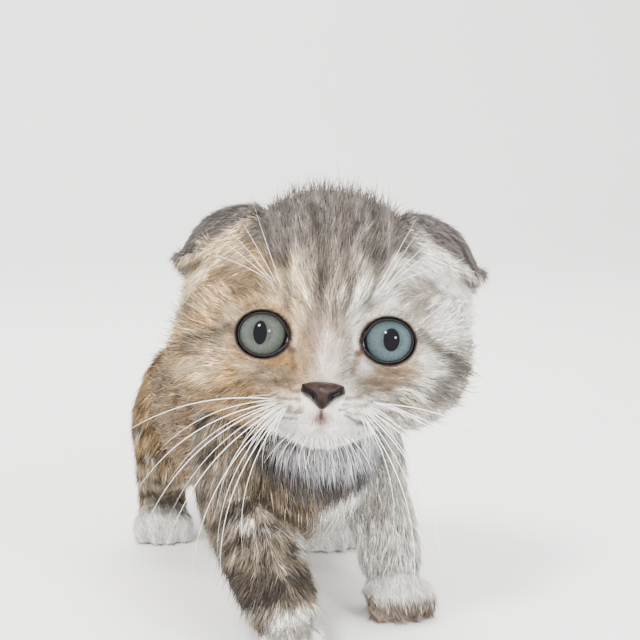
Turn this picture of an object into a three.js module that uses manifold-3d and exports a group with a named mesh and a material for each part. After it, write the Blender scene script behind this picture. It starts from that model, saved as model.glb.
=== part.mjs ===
// A Scottish fold kitten of about eight weeks, at life size, as a still display model.
// It walks slowly: right forepaw forward and left forepaw back, with its head turned a little to its
// right and its ears folded down over the top corners of the skull. The solids reach to the tips of
// its short, plush coat.
// Units are millimetres and +Z is up. The kitten faces -Y and its left side is +X.

import * as THREE from "three";
import { mergeVertices } from "three/addons/utils/BufferGeometryUtils.js";
import Module from "manifold-3d";

const wasm = await Module();
wasm.setup();

// Driving dimensions
const gap = 0.3; // clearance between neighbouring pieces
const withersHeight = 88; // floor to the top of the back
const torsoDepth = 61; // back to belly
const ribWidth = 60;
const bellyWidth = 66;
const headWidth = 78;
const headCentreHeight = 93.5;
const headYaw = -11; // degrees, turned towards the kitten's right
const headPitch = 6; // degrees, face lifted
const headRoll = 3.2; // degrees, left side of the face lower
const eyeSpacing = 32; // centre to centre
const eyeballRadius = 8;
const corneaBulge = 0.9;
const eyeOpening = { halfWidth: 6.7, halfHeight: 5.9 };
const lidThickness = 1.1;
const noseWidth = 12;
const whiskerPad = { x: 10.8, z: -20.8, halfWidth: 4.1, halfHeight: 2.8 };
const whiskers = {
  count: 6,
  shortest: 43,
  longest: 51,
  highest: 20, // degrees under the horizontal
  lowest: 78,
  rootRadius: 0.55,
  tipRadius: 0.25,
};
const earThickness = 2.4;
const forelegWidth = 24;
const shankWidth = 19;
const pawWidth = 20;
const pawLength = 25;
const pawHeight = 15;
const tailRootWidth = 19;
const tailTipWidth = 9;

// Colours of the coat, the eyes and the nose leather
const coatColours = {
  crown: 0x8f857c,
  cream: 0xc9b59c,
  white: 0xe9e4dd,
  flank: 0xa8967f,
  band: 0x7d746c,
  ear: 0x77716c,
  iris: 0x74857f,
  nose: 0x5d4340,
};

const vector = (x, y, z) => new THREE.Vector3(x, y, z);
const degrees = THREE.MathUtils.degToRad;

// A closed geometry as a solid that can be joined and cut.
function solidOf(geometry) {
  const bare = geometry.index ? geometry.toNonIndexed() : geometry.clone();
  const positions = new THREE.BufferGeometry();
  positions.setAttribute("position", bare.getAttribute("position"));
  const merged = mergeVertices(positions, 1e-4);
  const corners = Array.from(merged.index.array);
  const faces = [];
  for (let i = 0; i < corners.length; i += 3) {
    const [a, b, c] = corners.slice(i, i + 3);
    if (a !== b && b !== c && c !== a) faces.push(a, b, c);
  }
  return new wasm.Manifold(
    new wasm.Mesh({
      numProp: 3,
      vertProperties: merged.attributes.position.array,
      triVerts: new Uint32Array(faces),
    }),
  );
}

function geometryOf(solid) {
  const mesh = solid.getMesh();
  const corners = new Float32Array(mesh.numVert * 3);
  for (let i = 0; i < mesh.numVert; i++) {
    const start = i * mesh.numProp;
    corners.set(mesh.vertProperties.subarray(start, start + 3), i * 3);
  }
  const geometry = new THREE.BufferGeometry();
  geometry.setAttribute("position", new THREE.BufferAttribute(corners, 3));
  geometry.setIndex(new THREE.BufferAttribute(mesh.triVerts, 1));
  return geometry;
}

// The same surface with the ends of each edge shorter than `shortest` drawn together.
function withoutSlivers(geometry, shortest = 0.02) {
  const places = geometry.getAttribute("position");
  const corners = geometry.index.array;
  const leader = Array.from({ length: places.count }, (_, i) => i);
  const leaderOf = (i) => (leader[i] === i ? i : (leader[i] = leaderOf(leader[i])));
  const [from, to] = [vector(), vector()];
  for (let i = 0; i < corners.length; i++) {
    const next = i % 3 === 2 ? i - 2 : i + 1;
    from.fromBufferAttribute(places, corners[i]);
    to.fromBufferAttribute(places, corners[next]);
    if (from.distanceTo(to) < shortest) leader[leaderOf(corners[i])] = leaderOf(corners[next]);
  }
  const points = [];
  for (const corner of corners) points.push(vector().fromBufferAttribute(places, leaderOf(corner)));
  return geometryOf(solidOf(new THREE.BufferGeometry().setFromPoints(points)));
}

// What is left of a solid once its neighbours are cut out of it: its largest closed body.
function fitted(solid, ...neighbours) {
  const rest = neighbours.reduce((left, cutter) => left.subtract(cutter), solid);
  return rest.decompose().sort((a, b) => b.volume() - a.volume())[0];
}

function box(low, high) {
  const size = high.clone().sub(low);
  const middle = low.clone().add(high).multiplyScalar(0.5);
  const geometry = new THREE.BoxGeometry(size.x, size.y, size.z);
  return solidOf(geometry.translate(middle.x, middle.y, middle.z));
}

// A closed body wound from rings of points, with one pole point at each end.
function ringBody(startPole, rings, endPole) {
  const sides = rings[0].length;
  const points = [startPole, ...rings.flat(), endPole];
  const last = points.length - 1;
  const faces = [];
  for (let s = 0; s < sides; s++) {
    const next = (s + 1) % sides;
    faces.push(0, 1 + next, 1 + s);
    for (let r = 0; r < rings.length - 1; r++) {
      const here = 1 + r * sides;
      const there = here + sides;
      faces.push(here + s, here + next, there + s);
      faces.push(here + next, there + next, there + s);
    }
    const rim = 1 + (rings.length - 1) * sides;
    faces.push(last, rim + s, rim + next);
  }
  const geometry = new THREE.BufferGeometry().setFromPoints(points);
  geometry.setIndex(faces);
  return solidOf(geometry);
}

// A limb: an oval tube on a smooth line through its stations. Each station has its middle `at`, its
// half width `side` along X, and its half depths `top` and `bottom` across that. Its ends are domes,
// or flat where a dome's length is 0.
function limb(stations, { sides = 14, rings = 9, grow = 0, domes = [1, 1], span = [0, 1] } = {}) {
  const middles = new THREE.CatmullRomCurve3(stations.map((s) => vector(...s.at)), false, "centripetal");
  const sizes = new THREE.CatmullRomCurve3(
    stations.map((s) => vector(s.side, s.top ?? s.side, s.bottom ?? s.top ?? s.side)),
    false,
    "centripetal",
  );
  const ring = (t, along, scale) => {
    const middle = middles.getPoint(t);
    const tangent = middles.getTangent(t);
    const side = vector(1, 0, 0).addScaledVector(tangent, -tangent.x).normalize();
    const top = side.clone().cross(tangent);
    const size = sizes.getPoint(t).addScalar(grow).multiplyScalar(scale);
    return Array.from({ length: sides }, (_, s) => {
      const angle = (2 * Math.PI * s) / sides;
      const depth = Math.sin(angle) > 0 ? size.y : size.z;
      return middle
        .clone()
        .addScaledVector(tangent, along)
        .addScaledVector(side, -Math.cos(angle) * size.x)
        .addScaledVector(top, Math.sin(angle) * depth);
    });
  };
  const [from, to] = span;
  const domeSteps = 3;
  const wound = [];
  const poles = [];
  for (const [end, t] of [from, to].entries()) {
    const size = sizes.getPoint(t);
    const reach = domes[end] ? domes[end] * Math.min(size.x, size.y, size.z) + grow : grow;
    const outward = end ? 1 : -1;
    const tangent = middles.getTangent(t);
    poles.push(middles.getPoint(t).addScaledVector(tangent, outward * reach));
    const cap = [];
    for (let k = 1; k < domeSteps; k++) {
      const angle = (Math.PI / 2) * (k / domeSteps);
      cap.push(ring(t, outward * reach * Math.cos(angle), Math.sin(angle)));
    }
    if (!domes[end] && grow) cap.splice(0, cap.length, ring(t, outward * reach, 1));
    wound.push(domes[end] || grow ? cap : []);
  }
  const barrel = Array.from({ length: rings }, (_, r) => ring(from + ((to - from) * r) / (rings - 1), 0, 1));
  return ringBody(poles[0], [...wound[0], ...barrel, ...wound[1].reverse()], poles[1]);
}

function ellipsoid(at, radii, { wide = 14, high = 9 } = {}) {
  const geometry = new THREE.SphereGeometry(1, wide, high);
  return solidOf(geometry.scale(...radii).translate(...at));
}

// Rounded forms that melt into one surface. Each form is an ellipsoid with a place, three radii and
// the width of its blend with those before it.
function distanceToForm(point, { at, radii }) {
  const [x, y, z] = [point.x - at[0], point.y - at[1], point.z - at[2]];
  const scaled = Math.hypot(x / radii[0], y / radii[1], z / radii[2]);
  const slope = Math.hypot(x / radii[0] ** 2, y / radii[1] ** 2, z / radii[2] ** 2);
  return slope < 1e-9 ? -Math.min(...radii) : (scaled * (scaled - 1)) / slope;
}

function distanceToForms(point, forms) {
  let distance = Infinity;
  for (const form of forms) {
    const other = distanceToForm(point, form);
    if (form.hollow) {
      const overlap = Math.max(form.blend - Math.abs(distance + other), 0) / form.blend;
      distance = Math.max(distance, -other) + (overlap * overlap * form.blend) / 4;
    } else if (distance === Infinity) {
      distance = other;
    } else {
      const overlap = Math.max(form.blend - Math.abs(distance - other), 0) / form.blend;
      distance = Math.min(distance, other) - (overlap * overlap * form.blend) / 4;
    }
  }
  return distance;
}

// How far from `start` the blended surface lies along a direction, seen from outside.
function reachOfForms(start, direction, forms, grow = 0, furthest = 60) {
  const at = (r) => distanceToForms(start.clone().addScaledVector(direction, r), forms) - grow;
  let outside = furthest;
  while (outside > 0 && at(outside) > 0) outside -= 1;
  let inside = outside;
  outside += 1;
  for (let i = 0; i < 16; i++) {
    const middle = (inside + outside) / 2;
    if (at(middle) > 0) outside = middle;
    else inside = middle;
  }
  return (inside + outside) / 2;
}

// The blended surface as a closed body: a sphere, with its poles on the Y axis, drawn onto it.
// `frontShare` is the share of its rings that lies within 60 degrees of -Y.
function blendedBody(forms, centre, { wide, high, frontShare = 1 / 3, grow = 0 }) {
  const geometry = new THREE.SphereGeometry(1, wide, high);
  const places = geometry.getAttribute("position");
  const start = vector(...centre);
  for (let i = 0; i < places.count; i++) {
    const spot = vector().fromBufferAttribute(places, i);
    const share = Math.acos(THREE.MathUtils.clamp(-spot.y, -1, 1)) / Math.PI;
    const fromFront =
      share < frontShare
        ? (share / frontShare) * degrees(60)
        : degrees(60) + ((share - frontShare) / (1 - frontShare)) * degrees(120);
    const around = Math.atan2(spot.z, spot.x);
    const direction = vector(
      Math.sin(fromFront) * Math.cos(around),
      -Math.cos(fromFront),
      Math.sin(fromFront) * Math.sin(around),
    );
    const reach = reachOfForms(start, direction, forms, grow);
    const place = start.clone().addScaledVector(direction, reach);
    places.setXYZ(i, place.x, place.y, place.z);
  }
  return solidOf(geometry);
}

// Mirrored copies of a form on the two sides of the head.
const pair = ({ at: [x, y, z], ...form }) => [
  { ...form, at: [-x, y, z] },
  { ...form, at: [x, y, z] },
];

// The head, in its own frame: it faces -Y, and its origin is the middle of the skull.
const half = headWidth / 2;
const eyeHeight = -4;
const headForms = [
  { at: [0, 6, 3], radii: [33, 33, 29.5], blend: 1 }, // cranium
  ...pair({ at: [half - 20.5, -4, -8], radii: [20.5, 21, 20], blend: 8 }), // cheek
  ...pair({ at: [20, -3, 8.5], radii: [14.5, 17, 14], blend: 8 }), // temple
  { at: [0, -12, 14.5], radii: [20, 15.5, 17.5], blend: 8 }, // forehead
  { at: [0, -22, -8], radii: [7, 11.6, 15], blend: 6 }, // bridge of the nose
  ...pair({ at: [6, -25.5, -20.5], radii: [9, 9.6, 6.6], blend: 5 }), // muzzle pad
  ...pair({ at: [15.5, -29.5, eyeHeight], radii: [8.5, 4.4, 7.6], blend: 3, hollow: true }), // orbit
];
const jawForms = [
  { at: [0, -25.5, -26], radii: [7.6, 7.2, 5.4], blend: 1 }, // chin
  ...pair({ at: [7, -14, -24], radii: [9, 12, 6.5], blend: 6 }), // jawbone
];
const headStart = [0, -7, -5];
const headGrid = { wide: 44, high: 28, frontShare: 0.52 };
const headSurface = (x, z, forms = headForms) => {
  const reach = reachOfForms(vector(x, 0, z), vector(0, -1, 0), forms);
  return vector(x, -reach, z);
};

const headPlace = new THREE.Matrix4()
  .makeTranslation(4.9, -50, headCentreHeight)
  .multiply(new THREE.Matrix4().makeRotationZ(degrees(headYaw)))
  .multiply(new THREE.Matrix4().makeRotationX(degrees(-headPitch)))
  .multiply(new THREE.Matrix4().makeRotationY(degrees(headRoll)));

// A tube on a closed or open line of points, with rounded ends where it is open.
function tube(points, radius, { sides = 6, steps = 24, closed = false } = {}) {
  const line = new THREE.CatmullRomCurve3(points, closed, "centripetal");
  const section = new THREE.Shape();
  section.absarc(0, 0, radius, 0, 2 * Math.PI);
  const geometry = new THREE.ExtrudeGeometry(section, {
    steps,
    curveSegments: Math.ceil(sides / 2),
    extrudePath: line,
  });
  return solidOf(geometry);
}

// Eyes: a ball with a raised cornea, in a socket whose rim carries the two lids.
function eyeball(side, grow = 0) {
  const geometry = new THREE.SphereGeometry(1, 16, 12);
  const places = geometry.getAttribute("position");
  const corneaAngle = degrees(46);
  for (let i = 0; i < places.count; i++) {
    const spot = vector().fromBufferAttribute(places, i);
    const angle = Math.acos(THREE.MathUtils.clamp(-spot.y, -1, 1));
    const bulge = angle < corneaAngle ? corneaBulge * Math.cos((angle / corneaAngle) * (Math.PI / 2)) : 0;
    spot.multiplyScalar(eyeballRadius + bulge + grow);
    places.setXYZ(i, spot.x, spot.y, spot.z);
  }
  const outward = degrees(9) * side;
  return solidOf(geometry.rotateZ(outward).translate(...eyeCentre(side)));
}
const eyeCentre = (side) => [(side * eyeSpacing) / 2, -19.4, eyeHeight];

// The line of the lids' edge: an ellipse drawn onto the eyeball, drooping to the inner corner.
function lidEdge(side, angle) {
  const [x, y, z] = eyeCentre(side);
  const inner = Math.max(0, -side * Math.cos(angle)) ** 6;
  const across = Math.cos(angle) * eyeOpening.halfWidth * (1 + 0.12 * inner);
  const up = Math.sin(angle) * eyeOpening.halfHeight * (1 - 0.4 * inner) - 1.1 * inner;
  const ball = eyeballRadius + lidThickness * 0.55;
  return vector(x + across, y - Math.sqrt(ball ** 2 - across ** 2 - up ** 2), z + up);
}

// The two lids as one rounded rim on that line.
function lids(side) {
  const geometry = new THREE.TorusGeometry(1, 0.25, 6, 26);
  const places = geometry.getAttribute("position");
  for (let i = 0; i < places.count; i++) {
    const spot = vector().fromBufferAttribute(places, i);
    const angle = Math.atan2(spot.y, spot.x);
    const outward = (Math.hypot(spot.x, spot.y) - 1) * 4 * lidThickness;
    const place = lidEdge(side, angle);
    place.add(vector(Math.cos(angle) * outward, -spot.z * 4 * lidThickness, Math.sin(angle) * outward));
    places.setXYZ(i, place.x, place.y, place.z);
  }
  return solidOf(geometry);
}

function socket(side) {
  const [x, y, z] = eyeCentre(side);
  const opening = new THREE.CylinderGeometry(1, 1, 20, 22);
  opening.scale(eyeOpening.halfWidth + 0.4, 1, eyeOpening.halfHeight + 0.4);
  return solidOf(opening.translate(x, y - 10, z));
}

// The nose leather: a broad flat top, two wings over the nostrils and a point on the lip.
const noseForms = [
  { at: [0, -35.2, -17], radii: [noseWidth * 0.3, 3.4, 2.2], blend: 1 },
  ...pair({ at: [noseWidth * 0.28, -34.2, -16.7], radii: [noseWidth * 0.23, 2.9, 1.6], blend: 1.6 }),
  { at: [0, -35, -19.2], radii: [1.9, 2.9, 2.6], blend: 2.2 },
];
const noseBody = (grow) =>
  blendedBody(noseForms, [0, -34.4, -17.6], { wide: 18, high: 11, frontShare: 0.5, grow });
// A nostril: a comma from the wing's outer end, inwards and down beside the middle.
const nostrilLine = [[0.47, -16.1], [0.38, -16.9], [0.27, -17.5], [0.185, -18.2], [0.18, -19]];
const nostril = (side) => {
  const line = nostrilLine.map(([share, z]) => {
    const reach = reachOfForms(vector(side * noseWidth * share, -30, z), vector(0, -1, 0), noseForms, 0, 20);
    return vector(side * noseWidth * share, -30 - reach + 0.15, z);
  });
  return tube(line, 0.55, { sides: 4, steps: 6 });
};

const headGrown = blendedBody(headForms, headStart, { ...headGrid, grow: gap });
let headSolid = blendedBody(headForms, headStart, headGrid);
for (const side of [-1, 1]) {
  headSolid = headSolid.subtract(socket(side)).add(lids(side)).subtract(eyeball(side, gap));
}
// The groove from the nose to the mouth.
const philtrum = tube(
  [-21, -22.5, -24, -26].map((z) => headSurface(0, z).add(vector(0, 0.2, 0))),
  0.55,
  { steps: 8 },
);
headSolid = fitted(headSolid, philtrum, noseBody(gap));
const noseSolid = fitted(noseBody(0), nostril(-1), nostril(1));

// The whiskers: on each side a pad, cut from the muzzle's own surface, that carries a fan of hairs.
function padTool(side, grow) {
  const depth = 3 + grow;
  const geometry = new THREE.CylinderGeometry(1, 1, 20, 14);
  geometry.scale(whiskerPad.halfWidth + grow, 1, whiskerPad.halfHeight + grow);
  const [x, z] = [side * whiskerPad.x, whiskerPad.z];
  return solidOf(geometry.translate(x, headSurface(x, z).y + depth - 10, z));
}
// A whisker leaves its pad outwards, and arches forwards and down to its tip.
function whisker(side, share) {
  const drop = degrees(whiskers.highest + (whiskers.lowest - whiskers.highest) * share);
  const length = whiskers.shortest + (whiskers.longest - whiskers.shortest) * share;
  const x = side * (whiskerPad.x + (0.5 - share) * whiskerPad.halfWidth);
  const z = whiskerPad.z + (0.5 - share) * whiskerPad.halfHeight;
  const root = headSurface(x, z).add(vector(0, 0.6, 0));
  const tip = root.clone().add(vector(side * Math.cos(drop) * length, -5, -Math.sin(drop) * length));
  const aimed = [Math.cos(drop - degrees(24)), Math.sin(drop - degrees(24))];
  const bend = root.clone().add(vector(side * aimed[0] * length * 0.55, -9, -aimed[1] * length * 0.55));
  const line = new THREE.QuadraticBezierCurve3(root, bend, tip);
  const stations = Array.from({ length: 6 }, (_, i) => {
    const at = line.getPoint(i / 5).toArray();
    return { at, side: whiskers.rootRadius + ((whiskers.tipRadius - whiskers.rootRadius) * i) / 5 };
  });
  return limb(stations, { sides: 3, rings: 6, domes: [0, 0] });
}
const whiskerFan = (side) => {
  let fan = fitted(headSolid.intersect(padTool(side, 0)));
  for (let i = 0; i < whiskers.count; i++) fan = fan.add(whisker(side, i / (whiskers.count - 1)));
  return fitted(fan);
};
const fans = [whiskerFan(-1), whiskerFan(1)];
headSolid = fitted(headSolid, padTool(-1, gap), padTool(1, gap));
const jawSolid = fitted(blendedBody(jawForms, [0, -18, -25], { wide: 22, high: 14 }), headGrown, noseBody(gap));

// Ears: a leaf that rises from the skull, folds over forwards along its crease and lies down on the
// temple, hollow underneath. Each line runs from the ear's inner end to its outer tip.
const earLines = {
  root: [[15, 9, 25], [21, 10, 25], [28, 10, 21], [33, 9, 15.5], [35.5, 7, 10.5]],
  wall: [[18.5, 8, 27.5], [24, 8, 27.4], [31, 7.5, 24], [36.2, 6, 18], [38.4, 3.5, 13]],
  crease: [[19.5, 2.5, 28.9], [25.5, 1, 28.6], [32.5, -0.5, 25.2], [38, -1.5, 19.6], [40.3, -1.5, 14.4]],
  flap: [[20.5, -3, 26.6], [25.8, -5.5, 25.8], [32, -8, 21.8], [37, -8.5, 17], [40.4, -5.5, 13.2]],
  rim: [[21.2, -5.5, 24.6], [25.2, -9.5, 22.6], [30, -12.5, 18.6], [35.2, -12, 15], [40.2, -7.5, 12]],
};
function ear(side) {
  const across = 10;
  const along = 8;
  const lines = Object.values(earLines).map(
    (line) => new THREE.CatmullRomCurve3(line.map(([x, y, z]) => vector(side * x, y, z))),
  );
  const sheet = (u, v) => new THREE.CatmullRomCurve3(lines.map((line) => line.getPoint(u))).getPoint(v);
  const faces = [];
  const points = [];
  const edge = (share) => 0.35 + 0.65 * Math.sin(Math.PI * THREE.MathUtils.clamp(share, 0.04, 0.96)) ** 0.5;
  for (const layer of [-1, 1]) {
    for (let i = 0; i <= across; i++) {
      for (let j = 0; j <= along; j++) {
        const [u, v] = [i / across, j / along];
        const step = 0.01;
        const du = sheet(Math.min(u + step, 1), v).sub(sheet(Math.max(u - step, 0), v));
        const dv = sheet(u, Math.min(v + step, 1)).sub(sheet(u, Math.max(v - step, 0)));
        const normal = du.cross(dv).normalize().multiplyScalar(side);
        const thickness = (earThickness / 2) * edge(u) * (v > 0.8 ? 1 - 2.2 * (v - 0.8) : 1);
        points.push(sheet(u, v).addScaledVector(normal, layer * thickness));
      }
    }
  }
  const index = (layer, i, j) => layer * (across + 1) * (along + 1) + i * (along + 1) + j;
  const quad = (a, b, c, d) => faces.push(a, b, c, a, c, d);
  for (let i = 0; i < across; i++) {
    for (let j = 0; j < along; j++) {
      const corners = (layer) => [
        index(layer, i, j),
        index(layer, i + 1, j),
        index(layer, i + 1, j + 1),
        index(layer, i, j + 1),
      ];
      quad(...corners(1));
      const [a, b, c, d] = corners(0);
      faces.push(a, c, b, a, d, c);
    }
  }
  for (let i = 0; i < across; i++) {
    quad(index(0, i, 0), index(0, i + 1, 0), index(1, i + 1, 0), index(1, i, 0));
    quad(index(1, i, along), index(1, i + 1, along), index(0, i + 1, along), index(0, i, along));
  }
  for (let j = 0; j < along; j++) {
    quad(index(1, 0, j), index(1, 0, j + 1), index(0, 0, j + 1), index(0, 0, j));
    quad(index(0, across, j), index(0, across, j + 1), index(1, across, j + 1), index(1, across, j));
  }
  if (side < 0) {
    for (let f = 0; f < faces.length; f += 3) [faces[f], faces[f + 1]] = [faces[f + 1], faces[f]];
  }
  const geometry = new THREE.BufferGeometry().setFromPoints(points);
  geometry.setIndex(faces);
  return fitted(solidOf(geometry), headGrown);
}

const place = (solid) => {
  return solidOf(geometryOf(solid).applyMatrix4(headPlace));
};

// Neck, torso and tail
const middle = withersHeight - torsoDepth / 2;
const torsoStations = [
  { at: [2, -40, middle + 1], side: 19, top: 19, bottom: 21 },
  { at: [2, -28, middle + 1], side: ribWidth / 2 - 4, top: 25, bottom: 27 },
  { at: [1, -8, middle + 0.5], side: ribWidth / 2, top: 29, bottom: 29 },
  { at: [0, 18, middle - 1], side: ribWidth / 2 + 1.5, top: 29, bottom: 30 },
  { at: [0, 46, middle - 3], side: bellyWidth / 2, top: 28, bottom: 30 },
  { at: [0, 72, middle - 4], side: bellyWidth / 2 - 1.5, top: 26.5, bottom: 28 },
  { at: [0, 94, middle - 3.5], side: bellyWidth / 2 - 7, top: 23, bottom: 23.5 },
];
const torso = (grow) => limb(torsoStations, { sides: 22, rings: 14, grow });
const neckStations = [
  { at: [4, -42, 84], side: 25, top: 22, bottom: 24 },
  { at: [3, -28, 75], side: 27, top: 23, bottom: 25 },
  { at: [2, -14, 67], side: 27, top: 22, bottom: 24 },
];
const tailStations = [
  { at: [0, 104, 61], side: tailRootWidth / 2 },
  { at: [0, 122, 60], side: tailRootWidth / 2 },
  { at: [1, 140, 52], side: tailRootWidth / 2 - 0.8 },
  { at: [3, 157, 41.5], side: tailRootWidth / 2 - 1.8 },
  { at: [6, 176, 35], side: tailRootWidth / 2 - 3 },
  { at: [10, 194, 37], side: tailTipWidth / 2 },
];

// Legs: each is an upper length, a lower length and a paw, from the body down.
const fore = forelegWidth / 2;
const shank = shankWidth / 2;
const legs = {
  right_fore: {
    upper: [
      { at: [-13, -22, 62], side: fore + 2, top: 16, bottom: 17 },
      { at: [-15, -25, 50], side: fore + 2, top: 15, bottom: 15 },
      { at: [-15.5, -27, 40], side: fore + 0.5, top: 13, bottom: 13 },
    ],
    lower: [
      { at: [-15, -29, 38], side: fore, top: 12.5, bottom: 12.5 },
      { at: [-12, -43, 28], side: fore - 0.8, top: 11.5, bottom: 11 },
      { at: [-9, -55, 18], side: fore - 2, top: 10, bottom: 10 },
    ],
    paw: { at: [-7, -63], turn: -6 },
  },
  left_fore: {
    upper: [
      { at: [17, -20, 62], side: fore + 2, top: 16, bottom: 16 },
      { at: [21.5, -17, 50], side: fore + 1, top: 14, bottom: 14 },
      { at: [25.5, -11, 40], side: fore - 0.5, top: 12.5, bottom: 12.5 },
    ],
    lower: [
      { at: [26, -10, 38], side: fore - 1, top: 12, bottom: 12 },
      { at: [30, -9, 28], side: fore - 1.8, top: 10.5, bottom: 10.5 },
      { at: [32.5, -10, 16], side: fore - 2.5, top: 9.5, bottom: 9.5 },
    ],
    paw: { at: [33, -16], turn: 8 },
  },
  right_hind: {
    upper: [
      { at: [-18, 80, 55], side: 15.5, top: 20, bottom: 19 },
      { at: [-22.5, 75, 45], side: 15.5, top: 19, bottom: 18 },
      { at: [-25, 68, 36], side: 13, top: 14, bottom: 13.5 },
    ],
    lower: [
      { at: [-25.5, 68, 34], side: shank + 1.5, top: 11, bottom: 10.5 },
      { at: [-26, 83, 27], side: shank, top: 9.5, bottom: 9.5 },
      { at: [-26, 95, 19], side: shank - 1, top: 8.5, bottom: 8.5 },
      { at: [-26, 95, 12], side: shank - 1, top: 8, bottom: 8 },
    ],
    paw: { at: [-26.5, 87], turn: -6 },
  },
  left_hind: {
    upper: [
      { at: [18, 76, 55], side: 15.5, top: 20, bottom: 19 },
      { at: [22.5, 67, 45], side: 15.5, top: 19, bottom: 18 },
      { at: [25.5, 57, 36], side: 13, top: 14, bottom: 13.5 },
    ],
    lower: [
      { at: [26.5, 56, 34], side: shank + 1.5, top: 11, bottom: 10.5 },
      { at: [27.5, 68, 26], side: shank, top: 9.5, bottom: 9.5 },
      { at: [27.5, 77, 18], side: shank - 1, top: 8.5, bottom: 8.5 },
      { at: [27.5, 75, 11.5], side: shank - 1, top: 8, bottom: 8 },
    ],
    paw: { at: [28, 66], turn: 7 },
  },
};

// A paw: a rounded foot with four toes, flat underneath.
function paw({ at: [x, y], turn }) {
  const toeCount = 4;
  const spacing = pawWidth * 0.235;
  const foot = [pawWidth * 0.46, pawLength * 0.45, pawHeight * 0.54];
  let solid = ellipsoid([0, 1.2, pawHeight * 0.46], foot, { wide: 12, high: 8 });
  for (let toe = 0; toe < toeCount; toe++) {
    const offset = toe - (toeCount - 1) / 2;
    const forward = pawLength * (0.3 - 0.07 * Math.abs(offset) ** 1.4);
    const toeSize = [pawWidth * 0.175, pawLength * 0.22, pawHeight * 0.42];
    solid = solid.add(ellipsoid([offset * spacing, -forward, pawHeight * 0.34], toeSize, { wide: 8, high: 6 }));
  }
  const turned = geometryOf(solid).rotateZ(degrees(turn)).translate(x, y, 0);
  const underFloor = box(vector(-300, -300, -50), vector(300, 300, 0));
  return fitted(solidOf(turned), underFloor);
}

// Every node: its name, its solid and the slot of its colour.
const nodes = [];
const addNode = (name, solid, colour) => nodes.push({ name, solid, colour });

const headGrownPlaced = place(headGrown);
const torsoGrown = torso(gap);
const neckGrown = limb(neckStations, { sides: 16, rings: 5, grow: gap });
addNode("head", place(headSolid), "crown");
addNode("jaw", place(jawSolid), "white");
addNode("nose", place(noseSolid), "nose");
for (const [side, name] of [[-1, "right"], [1, "left"]]) {
  addNode(`${name}_eye`, place(eyeball(side)), "iris");
  addNode(`${name}_ear`, place(ear(side)), "ear");
  addNode(`${name}_whiskers`, place(fans[(side + 1) / 2]), "white");
}
const jawGrown = place(blendedBody(jawForms, [0, -18, -25], { wide: 22, high: 14, grow: gap }));
const neck = fitted(limb(neckStations, { sides: 16, rings: 5 }), headGrownPlaced, jawGrown, torsoGrown);
addNode("neck", neck, "crown");

const torsoCuts = [14, 62]; // where the chest meets the belly, and the belly the rump
const wholeTorso = fitted(torso(0), headGrownPlaced, jawGrown);
const torsoNodes = ["chest", "belly", "rump"];
const torsoColours = ["cream", "flank", "flank"];
torsoNodes.forEach((name, i) => {
  const from = i ? torsoCuts[i - 1] + gap / 2 : -300;
  const to = i < torsoCuts.length ? torsoCuts[i] - gap / 2 : 300;
  const slab = box(vector(-300, from, -300), vector(300, to, 300));
  addNode(name, fitted(wholeTorso.intersect(slab)), torsoColours[i]);
});

for (const [leg, { upper, lower, paw: foot }] of Object.entries(legs)) {
  const upperSolid = fitted(limb(upper, { sides: 14, rings: 5 }), torsoGrown, neckGrown, headGrownPlaced);
  const upperGrown = limb(upper, { sides: 14, rings: 5, grow: gap });
  const lowerRings = lower.length + 2;
  const floor = box(vector(-300, -300, -50), vector(300, 300, 0.5));
  const lowerSolid = fitted(limb(lower, { sides: 12, rings: lowerRings }), torsoGrown, upperGrown, floor);
  const lowerGrown = limb(lower, { sides: 12, rings: lowerRings, grow: gap });
  addNode(`${leg}_${leg.endsWith("fore") ? "arm" : "thigh"}`, upperSolid, "cream");
  addNode(`${leg}_${leg.endsWith("fore") ? "forearm" : "shank"}`, lowerSolid, "band");
  addNode(`${leg}_paw`, fitted(paw(foot), lowerGrown), "white");
}

const tailLengths = [[0, 0.42, "base"], [0.42, 0.72, "middle"], [0.72, 1, "tip"]];
for (const [from, to, name] of tailLengths) {
  const start = from ? from + 0.0015 : 0;
  const end = to < 1 ? to - 0.0015 : 1;
  const domes = [from ? 0 : 1, to < 1 ? 0 : 1];
  const length = limb(tailStations, { sides: 12, rings: 5, domes, span: [start, end] });
  addNode(`tail_${name}`, fitted(length, torsoGrown), "band");
}

// The origin is the middle of the bounding box's underside.
const kitten = new THREE.Group();
const bounds = new THREE.Box3();
for (const { name, solid, colour } of nodes) {
  const material = new THREE.MeshStandardMaterial({
    color: coatColours[colour],
    roughness: colour === "iris" ? 0.08 : 0.85,
    metalness: 0,
  });
  const mesh = new THREE.Mesh(withoutSlivers(geometryOf(solid)), material);
  mesh.name = name;
  mesh.geometry.computeVertexNormals();
  mesh.geometry.computeBoundingBox();
  bounds.union(mesh.geometry.boundingBox);
  kitten.add(mesh);
}
const centre = bounds.getCenter(vector());
kitten.position.set(-centre.x, -centre.y, -bounds.min.z);

export default kitten;
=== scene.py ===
"""The looks of a Scottish fold kitten: its skin, plush tabby coat, eyes, nose, whiskers and claws."""

import math

import bpy
import numpy as np
from bpy.props import FloatProperty, FloatVectorProperty, IntProperty, PointerProperty
from bpy.types import Operator, Panel, PropertyGroup
from mathutils import Matrix, Vector
from mathutils.kdtree import KDTree


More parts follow.
